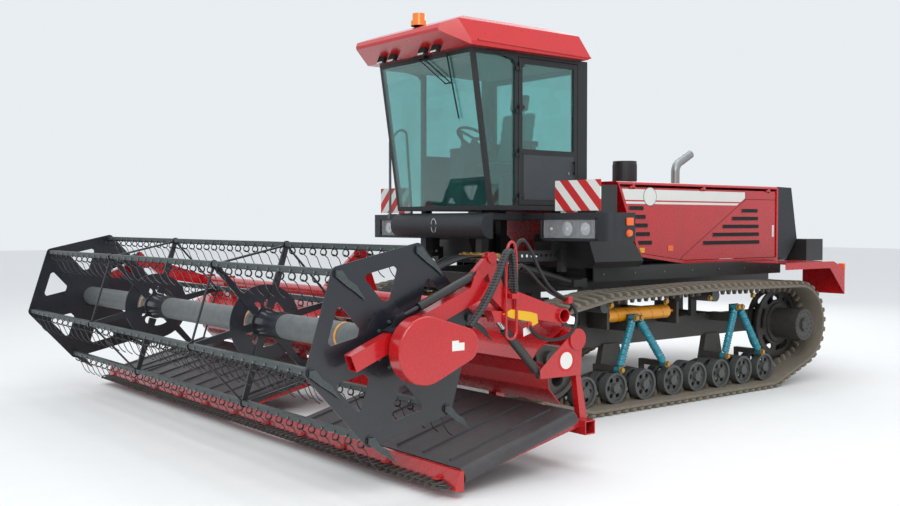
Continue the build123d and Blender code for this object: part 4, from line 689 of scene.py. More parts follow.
def tread_bar(side):
    """One slanted half-width bar, wide at its root and rounded off at the belt's shoulder."""
    bm = bmesh.new()
    lower, upper = [], []
    full_top = bar_top - carcass + 0.0015
    for y, drift, half in ((0.008, -0.030, 0.017), (0.10, -0.006, 0.021), (0.215, 0.022, 0.024),
                           (belt_half, 0.030, 0.020)):
        top = full_top if y < belt_half else 0.024
        lower.append([bm.verts.new((drift + s * (half + 0.007), side * y, -0.002)) for s in (-1, 1)])
        upper.append([bm.verts.new((drift + s * half, side * y, top)) for s in (-1, 1)])
    for i in range(3):
        bm.faces.new((upper[i][0], upper[i][1], upper[i + 1][1], upper[i + 1][0]))
        bm.faces.new((lower[i][0], upper[i][0], upper[i + 1][0], lower[i + 1][0]))
        bm.faces.new((lower[i][1], lower[i + 1][1], upper[i + 1][1], upper[i][1]))
        bm.faces.new((lower[i][0], lower[i + 1][0], lower[i + 1][1], lower[i][1]))
    for end in (0, 3):
        bm.faces.new((lower[end][0], lower[end][1], upper[end][1], upper[end][0]))
    bmesh.ops.recalc_face_normals(bm, faces=bm.faces)
    return bm


def guide_lug(y0, y1, height, root, tip):
    """A tapered lug that points in towards the wheels."""
    bm = bmesh.new()
    near = [bm.verts.new((s * root, y, 0.004)) for y in (y0, y1) for s in (-1, 1)]
    far = [bm.verts.new((s * tip, y0 + 0.008 if y == y0 else y1 - 0.008, -height)) for y in (y0, y1)
           for s in (-1, 1)]
    for corners in (near, far):
        bm.faces.new([corners[i] for i in (0, 1, 3, 2)])
    for a, b in ((0, 1), (1, 3), (3, 2), (2, 0)):
        bm.faces.new((near[a], near[b], far[b], far[a]))
    bmesh.ops.recalc_face_normals(bm, faces=bm.faces)
    return bm


print("belt", 2 * belt_half, "m wide,", carcass, "m thick,", bar_top, "m over its bars")

# %% [markdown]
# One side's track is gathered from the belt, the two rows of bars, half a step apart, and the two rows of
# lugs. The other side is its mirror, with the faces turned back outwards.

# %% Both tracks
tread_step, lug_step = 0.1085, 0.100
track_meshes = [belt_carcass()]
outer_line, outer_length = path_mesh(carcass)
bars = round(outer_length / tread_step)
track_meshes.append(repeated(loop_tree, tread_bar(1), outer_line, track_rubber, Count=bars))
outer_line, outer_length = path_mesh(carcass, tread_step / 2)
track_meshes.append(repeated(loop_tree, tread_bar(-1), outer_line, track_rubber, Count=bars))
inner_line, inner_length = path_mesh(0.0)
lugs = round(inner_length / lug_step)
middle_lug = guide_lug(-0.022, 0.022, 0.062, 0.026, 0.011)
track_meshes.append(repeated(loop_tree, middle_lug, inner_line, track_rubber, Count=lugs))
inner_line, inner_length = path_mesh(0.0)
side_lug = guide_lug(-0.165, -0.130, 0.045, 0.028, 0.006)
track_meshes.append(repeated(loop_tree, side_lug, inner_line, track_rubber, Count=lugs))
track_low, track_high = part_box("tracks")
whole_track = gathered(track_meshes)
for vertex in whole_track.verts:
    vertex.co.y += track_y
    for axis in (0, 2):
        # The weight on it presses the tread flat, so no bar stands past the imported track
        vertex.co[axis] = min(max(vertex.co[axis], track_low[axis] + 0.0005), track_high[axis] - 0.0005)
track_mesh = bpy.data.meshes.new("track")
whole_track.to_mesh(track_mesh)
both_tracks = bmesh.new()
both_tracks.from_mesh(track_mesh)
bmesh.ops.scale(whole_track, vec=(1, -1, 1), verts=whole_track.verts)
bmesh.ops.reverse_faces(whole_track, faces=whole_track.faces)
mirror_mesh = bpy.data.meshes.new("track_other_side")
whole_track.to_mesh(mirror_mesh)
whole_track.free()
both_tracks.from_mesh(mirror_mesh)
tracks = piece("rubber_tracks", both_tracks, track_rubber, "chassis", "track_rubber", smooth=35)
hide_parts("tracks")
print("tread bars a row", bars, "guide lugs a row", lugs,
      "triangles", sum(len(p.vertices) - 2 for p in tracks.data.polygons))

# %% [markdown]
# Each bat of the reel carries spring tines every 15 cm. A tine is one wire, wound into a coil just
# under the bat so that it can flex, and bent down and back into a hook that lifts the crop. The wire is
# drawn as a spline once, and the row tree repeats it along each bat, which rides on that bat's own body.

# %% Spring tines
tine_count, tine_step = 36, 0.153
first_tine = -tine_step * (tine_count - 1) / 2
reel_axle, bat_circle, first_bat_degrees = (3.45, 0.993), 0.628, 107.5
coil = [(0.026 * math.cos(a), -0.010 + 0.020 * a / (4 * math.pi), -0.042 + 0.026 * math.sin(a))
        for a in [math.pi * (0.5 + k / 5) for k in range(0, 18)]]
tine_wire = [(0.0, -0.010, -0.012)] + coil + [(-0.028, 0.018, -0.080), (-0.042, 0.018, -0.125),
                                             (-0.062, 0.018, -0.165), (-0.086, 0.018, -0.192),
                                             (-0.112, 0.018, -0.207)]
tine_mesh = tube(tine_wire, 0.0042, sides=0, smoothness=2)
for number in range(1, 7):
    angle = math.radians(first_bat_degrees - 60 * (number - 1))
    bat_x = reel_axle[0] + bat_circle * math.cos(angle)
    bat_z = reel_axle[1] + bat_circle * math.sin(angle)
    shown = repeated(row_tree, tine_mesh.copy(), None, reel_enamel, Count=tine_count,
                     Start=(bat_x, first_tine, bat_z), Step=(0.0, tine_step, 0.0))
    piece(f"tines_{number}", shown, reel_enamel, f"bat_{number}", "reel_black", smooth=60)
    clips = bmesh.new()
    for k in range(tine_count):
        y = first_tine + tine_step * k
        disc(clips, (bat_x + 0.026, y + 0.030, bat_z), (bat_x + 0.034, y + 0.030, bat_z), 0.008, sides=6)
    piece(f"tine_bolts_{number}", clips, zinc, f"bat_{number}", "galvanised")
print("tines", 6 * tine_count, "triangles in one", sum(len(p.vertices) - 2 for p in tine_mesh.polygons))

# %% [markdown]
# The knife slides in a row of pointed guards three inches apart, as on every mower. Each guard is a
# forging with a slot for the blades. Red hold-down clips keep the knife flat, and the drapers carry
# raised cleats that stop the crop from slipping on the smooth rubber.

# %% Guards, clips and cleats
guard = bmesh.new()
plate(guard, [(3.166, 0.058), (3.246, 0.058), (3.288, 0.072), (3.300, 0.083), (3.286, 0.094), (3.262, 0.078),
              (3.166, 0.076)], -0.011, 0.022)
plate(guard, [(3.168, 0.093), (3.258, 0.093), (3.300, 0.083), (3.284, 0.098), (3.236, 0.106), (3.168, 0.104)],
      -0.009, 0.018)
for vertex in guard.verts:
    if vertex.co.x > 3.28:
        vertex.co.y *= 0.35
guard_step = 0.0762
guard_count = 79
guards = repeated(row_tree, guard, None, chassis_black, Count=guard_count,
                  Start=(0.0, -guard_step * (guard_count - 1) / 2, 0.0), Step=(0.0, guard_step, 0.0))
piece("knife_guards", guards, chassis_black, "header", "grey_steel", bevel=0.001)

clip = box(bmesh.new(), (3.140, -0.032, 0.1075), (3.226, 0.032, 0.1135))
box(clip, (3.150, -0.024, 0.1135), (3.185, 0.024, 0.130))
disc(clip, (3.168, 0.0, 0.130), (3.168, 0.0, 0.139), 0.010, sides=6)
clip_count = 11
clips = repeated(row_tree, clip, None, red_enamel, Count=clip_count, Start=(0.0, -2.90, 0.0),
                 Step=(0.0, 0.58, 0.0))
piece("knife_hold_downs", clips, red_enamel, "header", "red_paint", bevel=0.0015)

deck_slope = math.atan2(0.39 - 0.13, 1.02)
deck_turn = Matrix.Rotation(deck_slope, 4, "Y")
deck_middle = Vector((2.58, 0.0, 0.26))
skin = 0.0535
for side, first, count in (("left", 1.05, 7), ("right", -2.92, 10)):
    cleat = bmesh.new()
    plate(cleat, [(-0.010, 0.0), (0.010, 0.0), (0.006, 0.014), (-0.006, 0.014)], -0.47, 0.94, axis="x")
    bmesh.ops.rotate(cleat, matrix=deck_turn, verts=cleat.verts)
    lift = deck_turn @ Vector((0.0, 0.0, skin - 0.001))
    bmesh.ops.translate(cleat, vec=deck_middle + lift, verts=cleat.verts)
    cleats = repeated(row_tree, cleat, None, draper_rubber, Count=count, Start=(0.0, first, 0.0),
                      Step=(0.0, 0.30, 0.0))
    piece(f"draper_cleats_{side}", cleats, draper_rubber, "header", "belt_rubber")
print("guards", guard_count, "hold-down clips", clip_count)

# %% [markdown]
# The suspension shows its springs: teal coils round each shock absorber, wound as a helix. Gold-coloured
# nuts mark each pivot, because plated fasteners go on after the frame is painted. Hexagon bolts ring
# the final drives and the roller hubs, and the spots tree stands each on its place, facing outwards.

# %% Springs, nuts and bolts


def spring(foot, top, y, radius, wire, turns):
    """A coil wound round the line between two points."""
    foot, top = Vector((foot[0], y, foot[1])), Vector((top[0], y, top[1]))
    run = (top - foot).normalized()
    side = run.cross(Vector((0, 1, 0))).normalized()
    points = []
    for k in range(turns * 8 + 1):
        a = 2 * math.pi * k / 8
        points.append(foot + run * ((top - foot).length * k / (turns * 8))
                      + side * radius * math.cos(a) + Vector((0, 1, 0)) * radius * math.sin(a))
    return tube([tuple(p) for p in points], wire, sides=0, smoothness=2)


shock_lines = [((0.070, 0.396), (-0.125, 0.870)), ((-0.580, 0.396), (-0.195, 0.870)),
               ((-1.520, 0.400), (-1.695, 0.893)), ((-2.120, 0.396), (-1.765, 0.893))]
coils = []
for foot, top in shock_lines:
    low_end = tuple(f + (t - f) * 0.10 for f, t in zip(foot, top))
    high_end = tuple(f + (t - f) * 0.90 for f, t in zip(foot, top))
    for side in (1, -1):
        coils.append(spring(low_end, high_end, side * 1.616, 0.037, 0.0075, 15))
piece("suspension_springs", gathered(coils), teal_paint, "chassis", "shock_blue", smooth=60)

nut_places = []
for side in (1, -1):
    for foot, top in shock_lines:
        for x, z in (foot, top):
            nut_places += on_circle((x, z), 0.0, side * 1.650, 1, facing=side)
    for x, z in ((-0.62, 1.0), (-1.30, 1.0), (0.16, 1.0), (-2.02, 1.0)):
        nut_places += on_circle((x, z), 0.0, side * 1.592, 1, facing=side)
nuts = repeated(spot_tree, hex_bolt(0.052, 0.026), spots(nut_places), yellow_zinc)
piece("gold_pivot_nuts", nuts, yellow_zinc, "chassis", "brass_fittings", bevel=0.001)

bolt_places = []
for side in (1, -1):
    bolt_places += on_circle(sprocket_axle, 0.143, side * 1.7515, 18, facing=side)
    bolt_places += on_circle(sprocket_axle, 0.052, side * 1.7735, 6, facing=side)
    for i in range(4):
        for x in (0.482 - 0.411 * i, -1.124 - 0.38 * i):
            bolt_places += on_circle((x, 0.217), 0.036, side * 1.5905, 6, start=0.3 * i, facing=side)
wheel_bolts = repeated(spot_tree, hex_bolt(0.018, 0.009), spots(bolt_places), hub_grey)
piece("wheel_bolts", wheel_bolts, hub_grey, "chassis", "black_paint")

# Dark lines that wind round each amber tensioner along its welded spiral seam, painted shade for the seam's
# groove
grooves, seam_radius = [], 0.0675
for side in (1, -1):
    for x in (-0.62, -0.46, -0.30, -0.14, 0.02):
        points = [(x + 0.035 * math.sin(a) * side, side * 1.495 + seam_radius * math.cos(a),
                   0.895 + seam_radius * math.sin(a)) for a in [math.pi * k / 8 for k in range(17)]]
        grooves.append(tube(points, 0.0035, sides=0, smoothness=2))
piece("tensioner_seams", gathered(grooves), joint_dark_and_painted_shade, "chassis", "black_paint")
print("nuts", len(nut_places), "bolts", len(bolt_places))

# %% [markdown]
# The hood's sides wear a white film with a thin line under it, and pressed slots let hot air out. The
# front slots step back with the raked edge, and the rear ones grow longer towards the sill. Each slot is
# a pressed lip round a near-black plate, painted shade where the slot opens. Seams are fine dark joints
# where the sheet-steel panel is split. The oval on the band stays blank. Each outline is one small
# function, so that either side can use it.

# %% Hood outlines
panel_y = 0.988


def rounded(x0, x1, z0, z1, radius, steps=5):
    """The outline of a plate with rounded corners."""
    points = []
    for cx, cz, first in ((x1 - radius, z1 - radius, 0), (x0 + radius, z1 - radius, 90),
                          (x0 + radius, z0 + radius, 180), (x1 - radius, z0 + radius, 270)):
        for k in range(steps + 1):
            a = math.radians(first + 90 * k / steps)
            points.append((cx + radius * math.cos(a), cz + radius * math.sin(a)))
    return points


def both(name, fill, material, slot, bodies=("hood_panel_left", "hood_panel_right"), **how):
    """The same piece on the left and, mirrored, on the right."""
    for side, body in zip((1, -1), bodies):
        bm = bmesh.new()
        fill(bm)
        if side < 0:
            bmesh.ops.scale(bm, vec=(1, -1, 1), verts=bm.verts)
            bmesh.ops.reverse_faces(bm, faces=bm.faces)
        piece(f"{name}_{'left' if side > 0 else 'right'}", bm, material, body, slot, **how)


def white_band(bm):
    """The broad film and the thin line under it."""
    film_thickness = 0.0012
    plate(bm, [(-0.655, 2.113), (-2.722, 2.113), (-2.722, 2.046), (-2.645, 2.002), (-0.704, 2.002)],
          panel_y, film_thickness)
    plate(bm, [(-0.711, 1.986), (-2.617, 1.986), (-2.566, 1.962), (-0.722, 1.962)],
          panel_y, film_thickness)


def ellipse(centre, half_x, half_z, count=48):
    """The outline of an upright oval."""
    return [(centre[0] + half_x * math.cos(2 * math.pi * i / count),
             centre[1] + half_z * math.sin(2 * math.pi * i / count)) for i in range(count)]


slots_in_panel = [(-0.982 - 0.034 * i, -0.762 - 0.034 * i, 1.918 - 0.090 * i) for i in range(5)]
slots_in_panel += [(-2.960 - 0.010 * i, left, 1.904 - 0.090 * i)
                   for i, left in enumerate((-2.658, -2.482, -2.312, -2.136, -1.963))]


def slot_lips(bm):
    """The pressed frames of the slots, four millimetres proud."""
    for x0, x1, z in slots_in_panel:
        plate(bm, rounded(x0 - 0.007, x1 + 0.007, z - 0.028, z + 0.028, 0.018), panel_y, 0.004)


def slot_mouths(bm):
    """The near-black plates in those frames, painted shade where the slots open."""
    for x0, x1, z in slots_in_panel:
        plate(bm, rounded(x0, x1, z - 0.021, z + 0.021, 0.012), panel_y + 0.0042, 0.0006)


def seams(bm):
    """Narrow dark joints between the panel's sheets."""
    for (ax, az), (bx, bz) in (((-2.734, 2.034), (-1.590, 1.385)), ((-2.734, 2.034), (-3.318, 2.034)),
                               ((-2.734, 2.034), (-2.734, 2.118)), ((-1.60, 1.366), (-1.60, 1.392))):
        run = math.dist((ax, az), (bx, bz))
        nx, nz = (bz - az) / run * 0.003, -(bx - ax) / run * 0.003
        plate(bm, [(ax - nx, az - nz), (bx - nx, bz - nz), (bx + nx, bz + nz), (ax + nx, az + nz)],
              panel_y, 0.0008)


print("slots a side", len(slots_in_panel))

# %% [markdown]
# The same outlines now make the left side, and the right as its mirror, each on its own hinged panel.
# Films stand a millimetre proud and the reflector seven, so that every piece shows its own edge.

# %% Hood sides
both("hood_band", white_band, white_film, "red_paint")
oval_centre = (-1.085, 2.040)
both("hood_oval_rim", lambda bm: plate(bm, ellipse(oval_centre, 0.104, 0.100), panel_y + 0.0012, 0.0008),
     hub_grey, "red_paint")
both("hood_oval", lambda bm: plate(bm, ellipse(oval_centre, 0.097, 0.093), panel_y + 0.0020, 0.0008),
     white_film, "red_paint")
both("slot_lips", slot_lips, red_enamel, "red_paint", bevel=0.0015)
# Near-black plates in the slot frames: painted shade where the slots open
both("slot_mouths", slot_mouths, joint_dark_and_painted_shade, "red_paint")
both("hood_seams", seams, joint_dark_and_painted_shade, "red_paint")
both("side_reflector", lambda bm: plate(bm, rounded(-1.460, -1.375, 1.463, 1.523, 0.008), panel_y, 0.007),
     orange_lens, "beacon_amber", bevel=0.002)
both("yellow_label", lambda bm: plate(bm, rounded(-1.008, -0.912, 1.455, 1.505, 0.003), panel_y, 0.001),
     yellow_film, "red_paint")
both("rear_label", lambda bm: plate(bm, rounded(-3.288, -3.250, 1.600, 1.738, 0.003), panel_y, 0.001),
     white_film, "red_paint")

# %% [markdown]
# Long-vehicle boards are retroreflective sheet on steel, red and white stripes that fall outwards. The
# stripes come from the place of each point: its height plus its distance from the middle line, counted
# off in steps, so the two boards mirror each other without any picture.

# %% Striped boards
stripe_pair = 0.225
board_paint = surface("striped_reflective_film", "C8161C", "B81218", 0.4)
tree = board_paint.node_tree
place = add(tree, "ShaderNodeSeparateXYZ", {"Vector": add(tree, "ShaderNodeTexCoord").outputs["Object"]})
outward = add(tree, "ShaderNodeMath", {0: place.outputs["Y"]}, operation="ABSOLUTE")
fall = add(tree, "ShaderNodeMath", {0: outward.outputs["Value"], 1: place.outputs["Z"]}, operation="ADD")
count_off = add(tree, "ShaderNodeMath", {0: fall.outputs["Value"], 1: stripe_pair},
                operation="DIVIDE")
part_of = add(tree, "ShaderNodeMath", {0: count_off.outputs["Value"]}, operation="FRACT")
stripe = add(tree, "ShaderNodeMath", {0: part_of.outputs["Value"], 1: 0.5}, operation="GREATER_THAN")
shader = tree.nodes["Principled BSDF"]
red_side = shader.inputs["Base Color"].links[0].from_socket
striped = blended(tree, stripe.outputs["Value"], red_side, linear("E2E2DC"))
tree.links.new(striped, shader.inputs["Base Color"])
nodes["warning_boards"].data.materials.clear()
nodes["warning_boards"].data.materials.append(board_paint)
print("a red and a white stripe together, measured upwards", stripe_pair, "m")

# %% [markdown]
# Behind each clear lens sits a plated reflector with three flared bowls and a fluted wall, and a moulded
# lip frames it. Orange markers stand on the bumper's ends and on the rear mudguards.

# %% Lamps and markers
on_chassis = ("chassis", "chassis")
lamp_stations = (1.12, 1.33, 1.56)


def lamp_bowls(bm):
    """The plated reflector behind the lens: a backing wall with three flared bowls."""
    box(bm, (0.405, 1.018, 1.632), (0.410, 1.692, 1.787))
    for y, radius in zip(lamp_stations, (0.062, 0.066, 0.060)):
        disc(bm, (0.408, y, 1.709), (0.462, y, 1.709), 0.016, radius, sides=32)
    for k in range(14):
        box(bm, (0.445, 1.030 + 0.047 * k, 1.634), (0.449, 1.032 + 0.047 * k, 1.785))


def bulbs(bm):
    """A short bulb in the middle of each bowl."""
    for y in lamp_stations:
        disc(bm, (0.455, y, 1.709), (0.470, y, 1.709), 0.017, 0.012, sides=20)


def lamp_bezel(bm):
    """The dark housing lip round the lens."""
    for y0, y1, z0, z1 in ((0.985, 1.725, 1.795, 1.812), (0.985, 1.725, 1.607, 1.624),
                           (0.985, 1.010, 1.607, 1.812), (1.700, 1.725, 1.607, 1.812)):
        box(bm, (0.455, y0, z0), (0.484, y1, z1))


both("lamp_reflectors", lamp_bowls, chrome, "lamp_lens", on_chassis, smooth=40)
both("lamp_bulbs", bulbs, white_film, "lamp_lens", on_chassis)
both("lamp_bezels", lamp_bezel, bumper_abs, "cab_plastic", on_chassis, bevel=0.003)
both("side_markers", lambda bm: plate(bm, rounded(0.185, 0.275, 1.742, 1.812, 0.010), 1.883, 0.014),
     orange_lens, "beacon_amber", on_chassis, bevel=0.003)
both("round_markers", lambda bm: disc(bm, (0.235, 1.883, 1.672), (0.235, 1.909, 1.672), 0.038, 0.026),
     orange_lens, "beacon_amber", on_chassis, bevel=0.004)
both("fender_markers", lambda bm: box(bm, (-3.660, 1.615, 1.235), (-3.632, 1.690, 1.300)),
     orange_lens, "beacon_amber", on_chassis, bevel=0.004)
print("bowls a lamp", len(lamp_stations))

# %% [markdown]
# A rubber foot seals the beacon to the roof. The bumper's nose carries a plated oval ring, left blank.

# %% Beacon foot and blank oval
beacon_foot = bmesh.new()
disc(beacon_foot, (1.19, 0.0, 3.690), (1.19, 0.0, 3.730), 0.078, 0.070, sides=40)
piece("beacon_foot", beacon_foot, black_rubber, "chassis", "beacon_amber", bevel=0.003)

oval_ring = bmesh.new()
oval_z, oval_half_y, oval_half_z, oval_sides = 1.738, 0.045, 0.0725, 40
angles_round = [2 * math.pi * i / oval_sides for i in range(oval_sides)]
outline = [(oval_half_y * math.cos(a), oval_z + oval_half_z * math.sin(a)) for a in angles_round]
inner = [(y * 0.80, oval_z + (z - oval_z) * 0.86) for y, z in outline]
front = [oval_ring.verts.new((1.0085, y, z)) for y, z in outline]
front_in = [oval_ring.verts.new((1.0095, y, z)) for y, z in inner]
back = [oval_ring.verts.new((0.995, y, z)) for y, z in outline]
back_in = [oval_ring.verts.new((0.995, y, z)) for y, z in inner]
for i in range(oval_sides):
    j = (i + 1) % oval_sides
    oval_ring.faces.new((front[i], front[j], front_in[j], front_in[i]))
    oval_ring.faces.new((front[i], back[i], back[j], front[j]))
    oval_ring.faces.new((front_in[i], front_in[j], back_in[j], back_in[i]))
    oval_ring.faces.new((back[i], back_in[i], back_in[j], back[j]))
bmesh.ops.recalc_face_normals(oval_ring, faces=oval_ring.faces)
piece("bumper_oval", oval_ring, chrome, "chassis", "cab_plastic")
print("beacon foot, and a blank oval", 2 * oval_half_z, "m high")

# %% [markdown]
# Round the cab: a drip edge along the roof, four square work lights under the visor, and the wiper that
# hangs from the top of the screen on two parallel rods, which keep its blade upright as it sweeps.

# %% Cab details


def screen_x(z):
    """How far forward the raked screen stands at a height."""
    return 0.906 + (z - 1.888) * 0.1534


drip = [tube([(1.14, side * 0.850, 3.452), (0.5, side * 0.853, 3.440), (-0.33, side * 0.853, 3.425)],
             0.011, sides=2) for side in (1, -1)]
piece("roof_drip_edges", gathered(drip), red_gelcoat, "chassis", "roof_plastic")

tilt = Matrix.Rotation(math.radians(-26), 4, "Y")
housings, lenses, stalks = bmesh.new(), bmesh.new(), bmesh.new()
work_light_stations = (-0.47, -0.28, 0.22, 0.42)
for y in work_light_stations:
    box(housings, (1.270, y - 0.050, 3.372), (1.318, y + 0.050, 3.472), turn=tilt)
    box(lenses, (1.3175, y - 0.041, 3.365), (1.3215, y + 0.041, 3.460), turn=tilt)
    disc(stalks, (1.285, y, 3.455), (1.292, y, 3.500), 0.008, sides=12)
piece("work_light_housings", housings, black_rubber, "chassis", "cab_plastic", bevel=0.005)
piece("work_light_lenses", lenses, white_film, "chassis", "lamp_lens", bevel=0.002)
piece("work_light_stalks", stalks, zinc, "chassis", "grey_steel")

wiper = [tube([(1.165, y, 3.392), (screen_x(3.11) + 0.030, y + 0.40, 3.10)], 0.006, sides=1)
         for y in (-0.06, 0.02)]
wiper.append(tube([(screen_x(3.38) + 0.018, 0.395, 3.38), (screen_x(3.10) + 0.022, 0.425, 3.10),
                   (screen_x(2.76) + 0.018, 0.465, 2.76)], 0.009, sides=1))
rod_end_x = screen_x(3.11) + 0.030
wiper.append(tube([(rod_end_x, 0.33, 3.10), (rod_end_x, 0.43, 3.10)], 0.007, sides=1))
wiper_body = gathered(wiper)
box(wiper_body, (1.140, -0.11, 3.372), (1.180, 0.07, 3.404))
piece("screen_wiper", wiper_body, black_rubber, "chassis", "cab_plastic")


def quarter_bracket(bm):
    """A small sheet bracket at the top of the quarter pane."""
    plate(bm, [(0.96, 3.392), (0.585, 3.392), (0.585, 3.300), (0.610, 3.296), (0.640, 3.330)], 0.756, 0.010)


both("quarter_brackets", quarter_bracket, cab_powder, "black_paint", on_chassis, bevel=0.001)

door_panel = plate(bmesh.new(), rounded(-0.190, 0.492, 1.990, 2.425, 0.012), 0.7552, 0.0035)
piece("door_sheet", door_panel, door_sheet, "cab_door", "black_paint", bevel=0.001)
latch = disc(bmesh.new(), (-0.115, 0.758, 2.26), (-0.115, 0.766, 2.26), 0.014, sides=20)
piece("door_lock", latch, zinc, "cab_door", "grey_steel")

head = box(bmesh.new(), (-0.335, -0.690, 3.345), (1.060, 0.690, 3.372))
bmesh.ops.bevel(head, geom=head.edges[:], offset=0.010, segments=2, affect="EDGES")
piece("cab_headliner", head, headliner, "chassis", "cab_plastic")
print("work lights", len(work_light_stations))

# %% [markdown]
# The seat is foam under cloth. A cushion is a block with soft corners, blown up a little as cloth: its
# skin is remeshed evenly, and a short cloth simulation under pressure rounds it the way stuffed foam
# rounds. One band of the weave is 2.4 mm, a few times a real thread's width, so that it shows.

# %% Seat cloth and the cushion maker
weave_scale = 130.0
seat_cloth = surface("woven_seat_cloth", "1C2022", "272C2E", 0.85, ripple_mm=4, ripple=0.5, Sheen_Weight=0.35)
tree = seat_cloth.node_tree
shader = tree.nodes["Principled BSDF"]
weave_place = add(tree, "ShaderNodeTexCoord").outputs["Object"]
warp = add(tree, "ShaderNodeTexWave", {"Vector": weave_place, "Scale": weave_scale, "Distortion": 0.4},
           bands_direction="Z")
weft = add(tree, "ShaderNodeTexWave", {"Vector": weave_place, "Scale": weave_scale, "Distortion": 0.4},
           bands_direction="Y")
over = add(tree, "ShaderNodeMath", {0: warp.outputs["Fac"], 1: weft.outputs["Fac"]}, operation="MULTIPLY")
weave = add(tree, "ShaderNodeBump", {"Height": over.outputs["Value"], "Strength": 0.5, "Distance": 0.0015})
tree.links.new(weave.outputs["Normal"], shader.inputs["Normal"])


cloth_frames = 12


def cushion(name, corners, soft, cap=0.012):
    """A block swollen by a short cloth simulation, each point's move capped."""
    bm = bmesh.new()
    y0, y1 = corners["y"]
    plate(bm, corners["side"], y0, y1 - y0)
    bmesh.ops.bevel(bm, geom=bm.edges[:], offset=soft, segments=4, affect="EDGES", profile=0.5)
    mesh = bpy.data.meshes.new(name)
    bm.to_mesh(mesh)
    bm.free()
    holder = bpy.data.objects.new(name, mesh)
    bpy.context.scene.collection.objects.link(holder)
    remesh = holder.modifiers.new("even_skin", "REMESH")
    remesh.mode = "VOXEL"
    remesh.voxel_size = 0.016
    even = evaluated_mesh(holder)
    bpy.data.objects.remove(holder)
    rest = [v.co.copy() for v in even.vertices]
    blown = bpy.data.objects.new(name + "_cloth", even)
    bpy.context.scene.collection.objects.link(blown)
    cloth = blown.modifiers.new("stuffing", "CLOTH")
    cloth.settings.use_pressure = True
    cloth.settings.uniform_pressure_force = 4.0
    cloth.settings.effector_weights.gravity = 0.0
    cloth.settings.mass = 0.3
    cloth.point_cache.frame_start = 1
    cloth.point_cache.frame_end = cloth_frames
    for frame_number in range(1, cloth_frames + 1):
        bpy.context.scene.frame_set(frame_number)
    swollen = evaluated_mesh(blown)
    for vertex, start in zip(swollen.vertices, rest):
        move = vertex.co - start
        if move.length > cap:
            vertex.co = start + move.normalized() * cap
    bpy.data.objects.remove(blown)
    bpy.context.scene.frame_set(1)
    even = swollen
    made = piece(name, even, seat_cloth, "chassis", "seat_cloth", smooth=180)
    smooth = made.modifiers.new("soft_skin", "SUBSURF")
    smooth.levels = 1
    smooth.render_levels = 1
    return made


print("cloth frames", cloth_frames)

# %% [markdown]
# The seat is three such cushions on a black frame with two armrests. It is still in its delivery film,
# so a thin crinkled skin, the backrest's own mesh pushed out in soft waves, stands just off the back.

# %% Seat
floor_z = 1.933
cushion_piece = cushion("seat_cushion", {"y": (-0.245, 0.245), "side": [
    (-0.105, floor_z + 0.336), (0.392, floor_z + 0.336),
    (0.396, floor_z + 0.440), (-0.100, floor_z + 0.432)]}, 0.030)
back_piece = cushion("seat_back", {"y": (-0.228, 0.228), "side": [
    (-0.112, floor_z + 0.440), (0.000, floor_z + 0.450),
    (-0.092, floor_z + 0.985), (-0.182, floor_z + 0.985)]}, 0.030)
head_piece = cushion("seat_headrest", {"y": (-0.125, 0.125), "side": [
    (-0.172, floor_z + 1.010), (-0.098, floor_z + 1.010),
    (-0.116, floor_z + 1.183), (-0.192, floor_z + 1.183)]}, 0.024)
frame_bm = box(bmesh.new(), (-0.055, -0.175, floor_z + 0.001), (0.255, 0.175, floor_z + 0.322))
for side in (1, -1):
    arm_y = side * 0.285
    box(frame_bm, (-0.118, arm_y - 0.033, floor_z + 0.622), (0.208, arm_y + 0.033, floor_z + 0.678))
    post_y = side * 0.245
    box(frame_bm, (-0.118, post_y - 0.036, floor_z + 0.500), (-0.062, post_y + 0.036, floor_z + 0.638))
    rod_y = side * 0.07
    disc(frame_bm, (-0.140, rod_y, floor_z + 0.960), (-0.143, rod_y, floor_z + 1.035), 0.007, sides=12)
piece("seat_frame", frame_bm, black_rubber, "chassis", "cab_plastic", bevel=0.008)
for made in (cushion_piece, back_piece, head_piece):
    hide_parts("driver_seat")

film = bmesh.new()
film.from_mesh(back_piece.data)
for vertex in film.verts:
    vertex.co += vertex.normal * (0.006 + 0.005 * math.sin(vertex.co.z * 61.0 + vertex.co.y * 37.0))
piece("delivery_film", film, delivery_film, "chassis", "seat_cloth", smooth=180)
print("seat pieces", [len(made.data.polygons) for made in (cushion_piece, back_piece, head_piece)])

# %% [markdown]
# Hydraulic hoses feed the reel. Two of them, wrapped in a protective spiral, climb from the arm's hoop and
# fall to the drive cover. The cover slides on the arm, and these two ride on no body. The
# others loop round the arm's rear end, and a bundle crosses from the chassis to the header's valve block.
# Each hose is a round section swept along a spline, which bends as smoothly as rubber does.

# %% Hoop and wrapped hoses
hoop = tube([(2.560, 2.958, 1.030), (2.560, 2.958, 1.30), (2.562, 2.958, 1.56), (2.580, 2.958, 1.625),
             (2.605, 2.958, 1.640), (2.632, 2.958, 1.625), (2.650, 2.958, 1.56), (2.655, 2.958, 1.30),
             (2.655, 2.958, 1.010), (2.640, 2.958, 0.985), (2.607, 2.958, 0.975), (2.575, 2.958, 0.990),
             (2.560, 2.958, 1.030)], 0.010, sides=2)
piece("hose_hoop", hoop, red_enamel, "reel_arms", "red_paint", smooth=60)

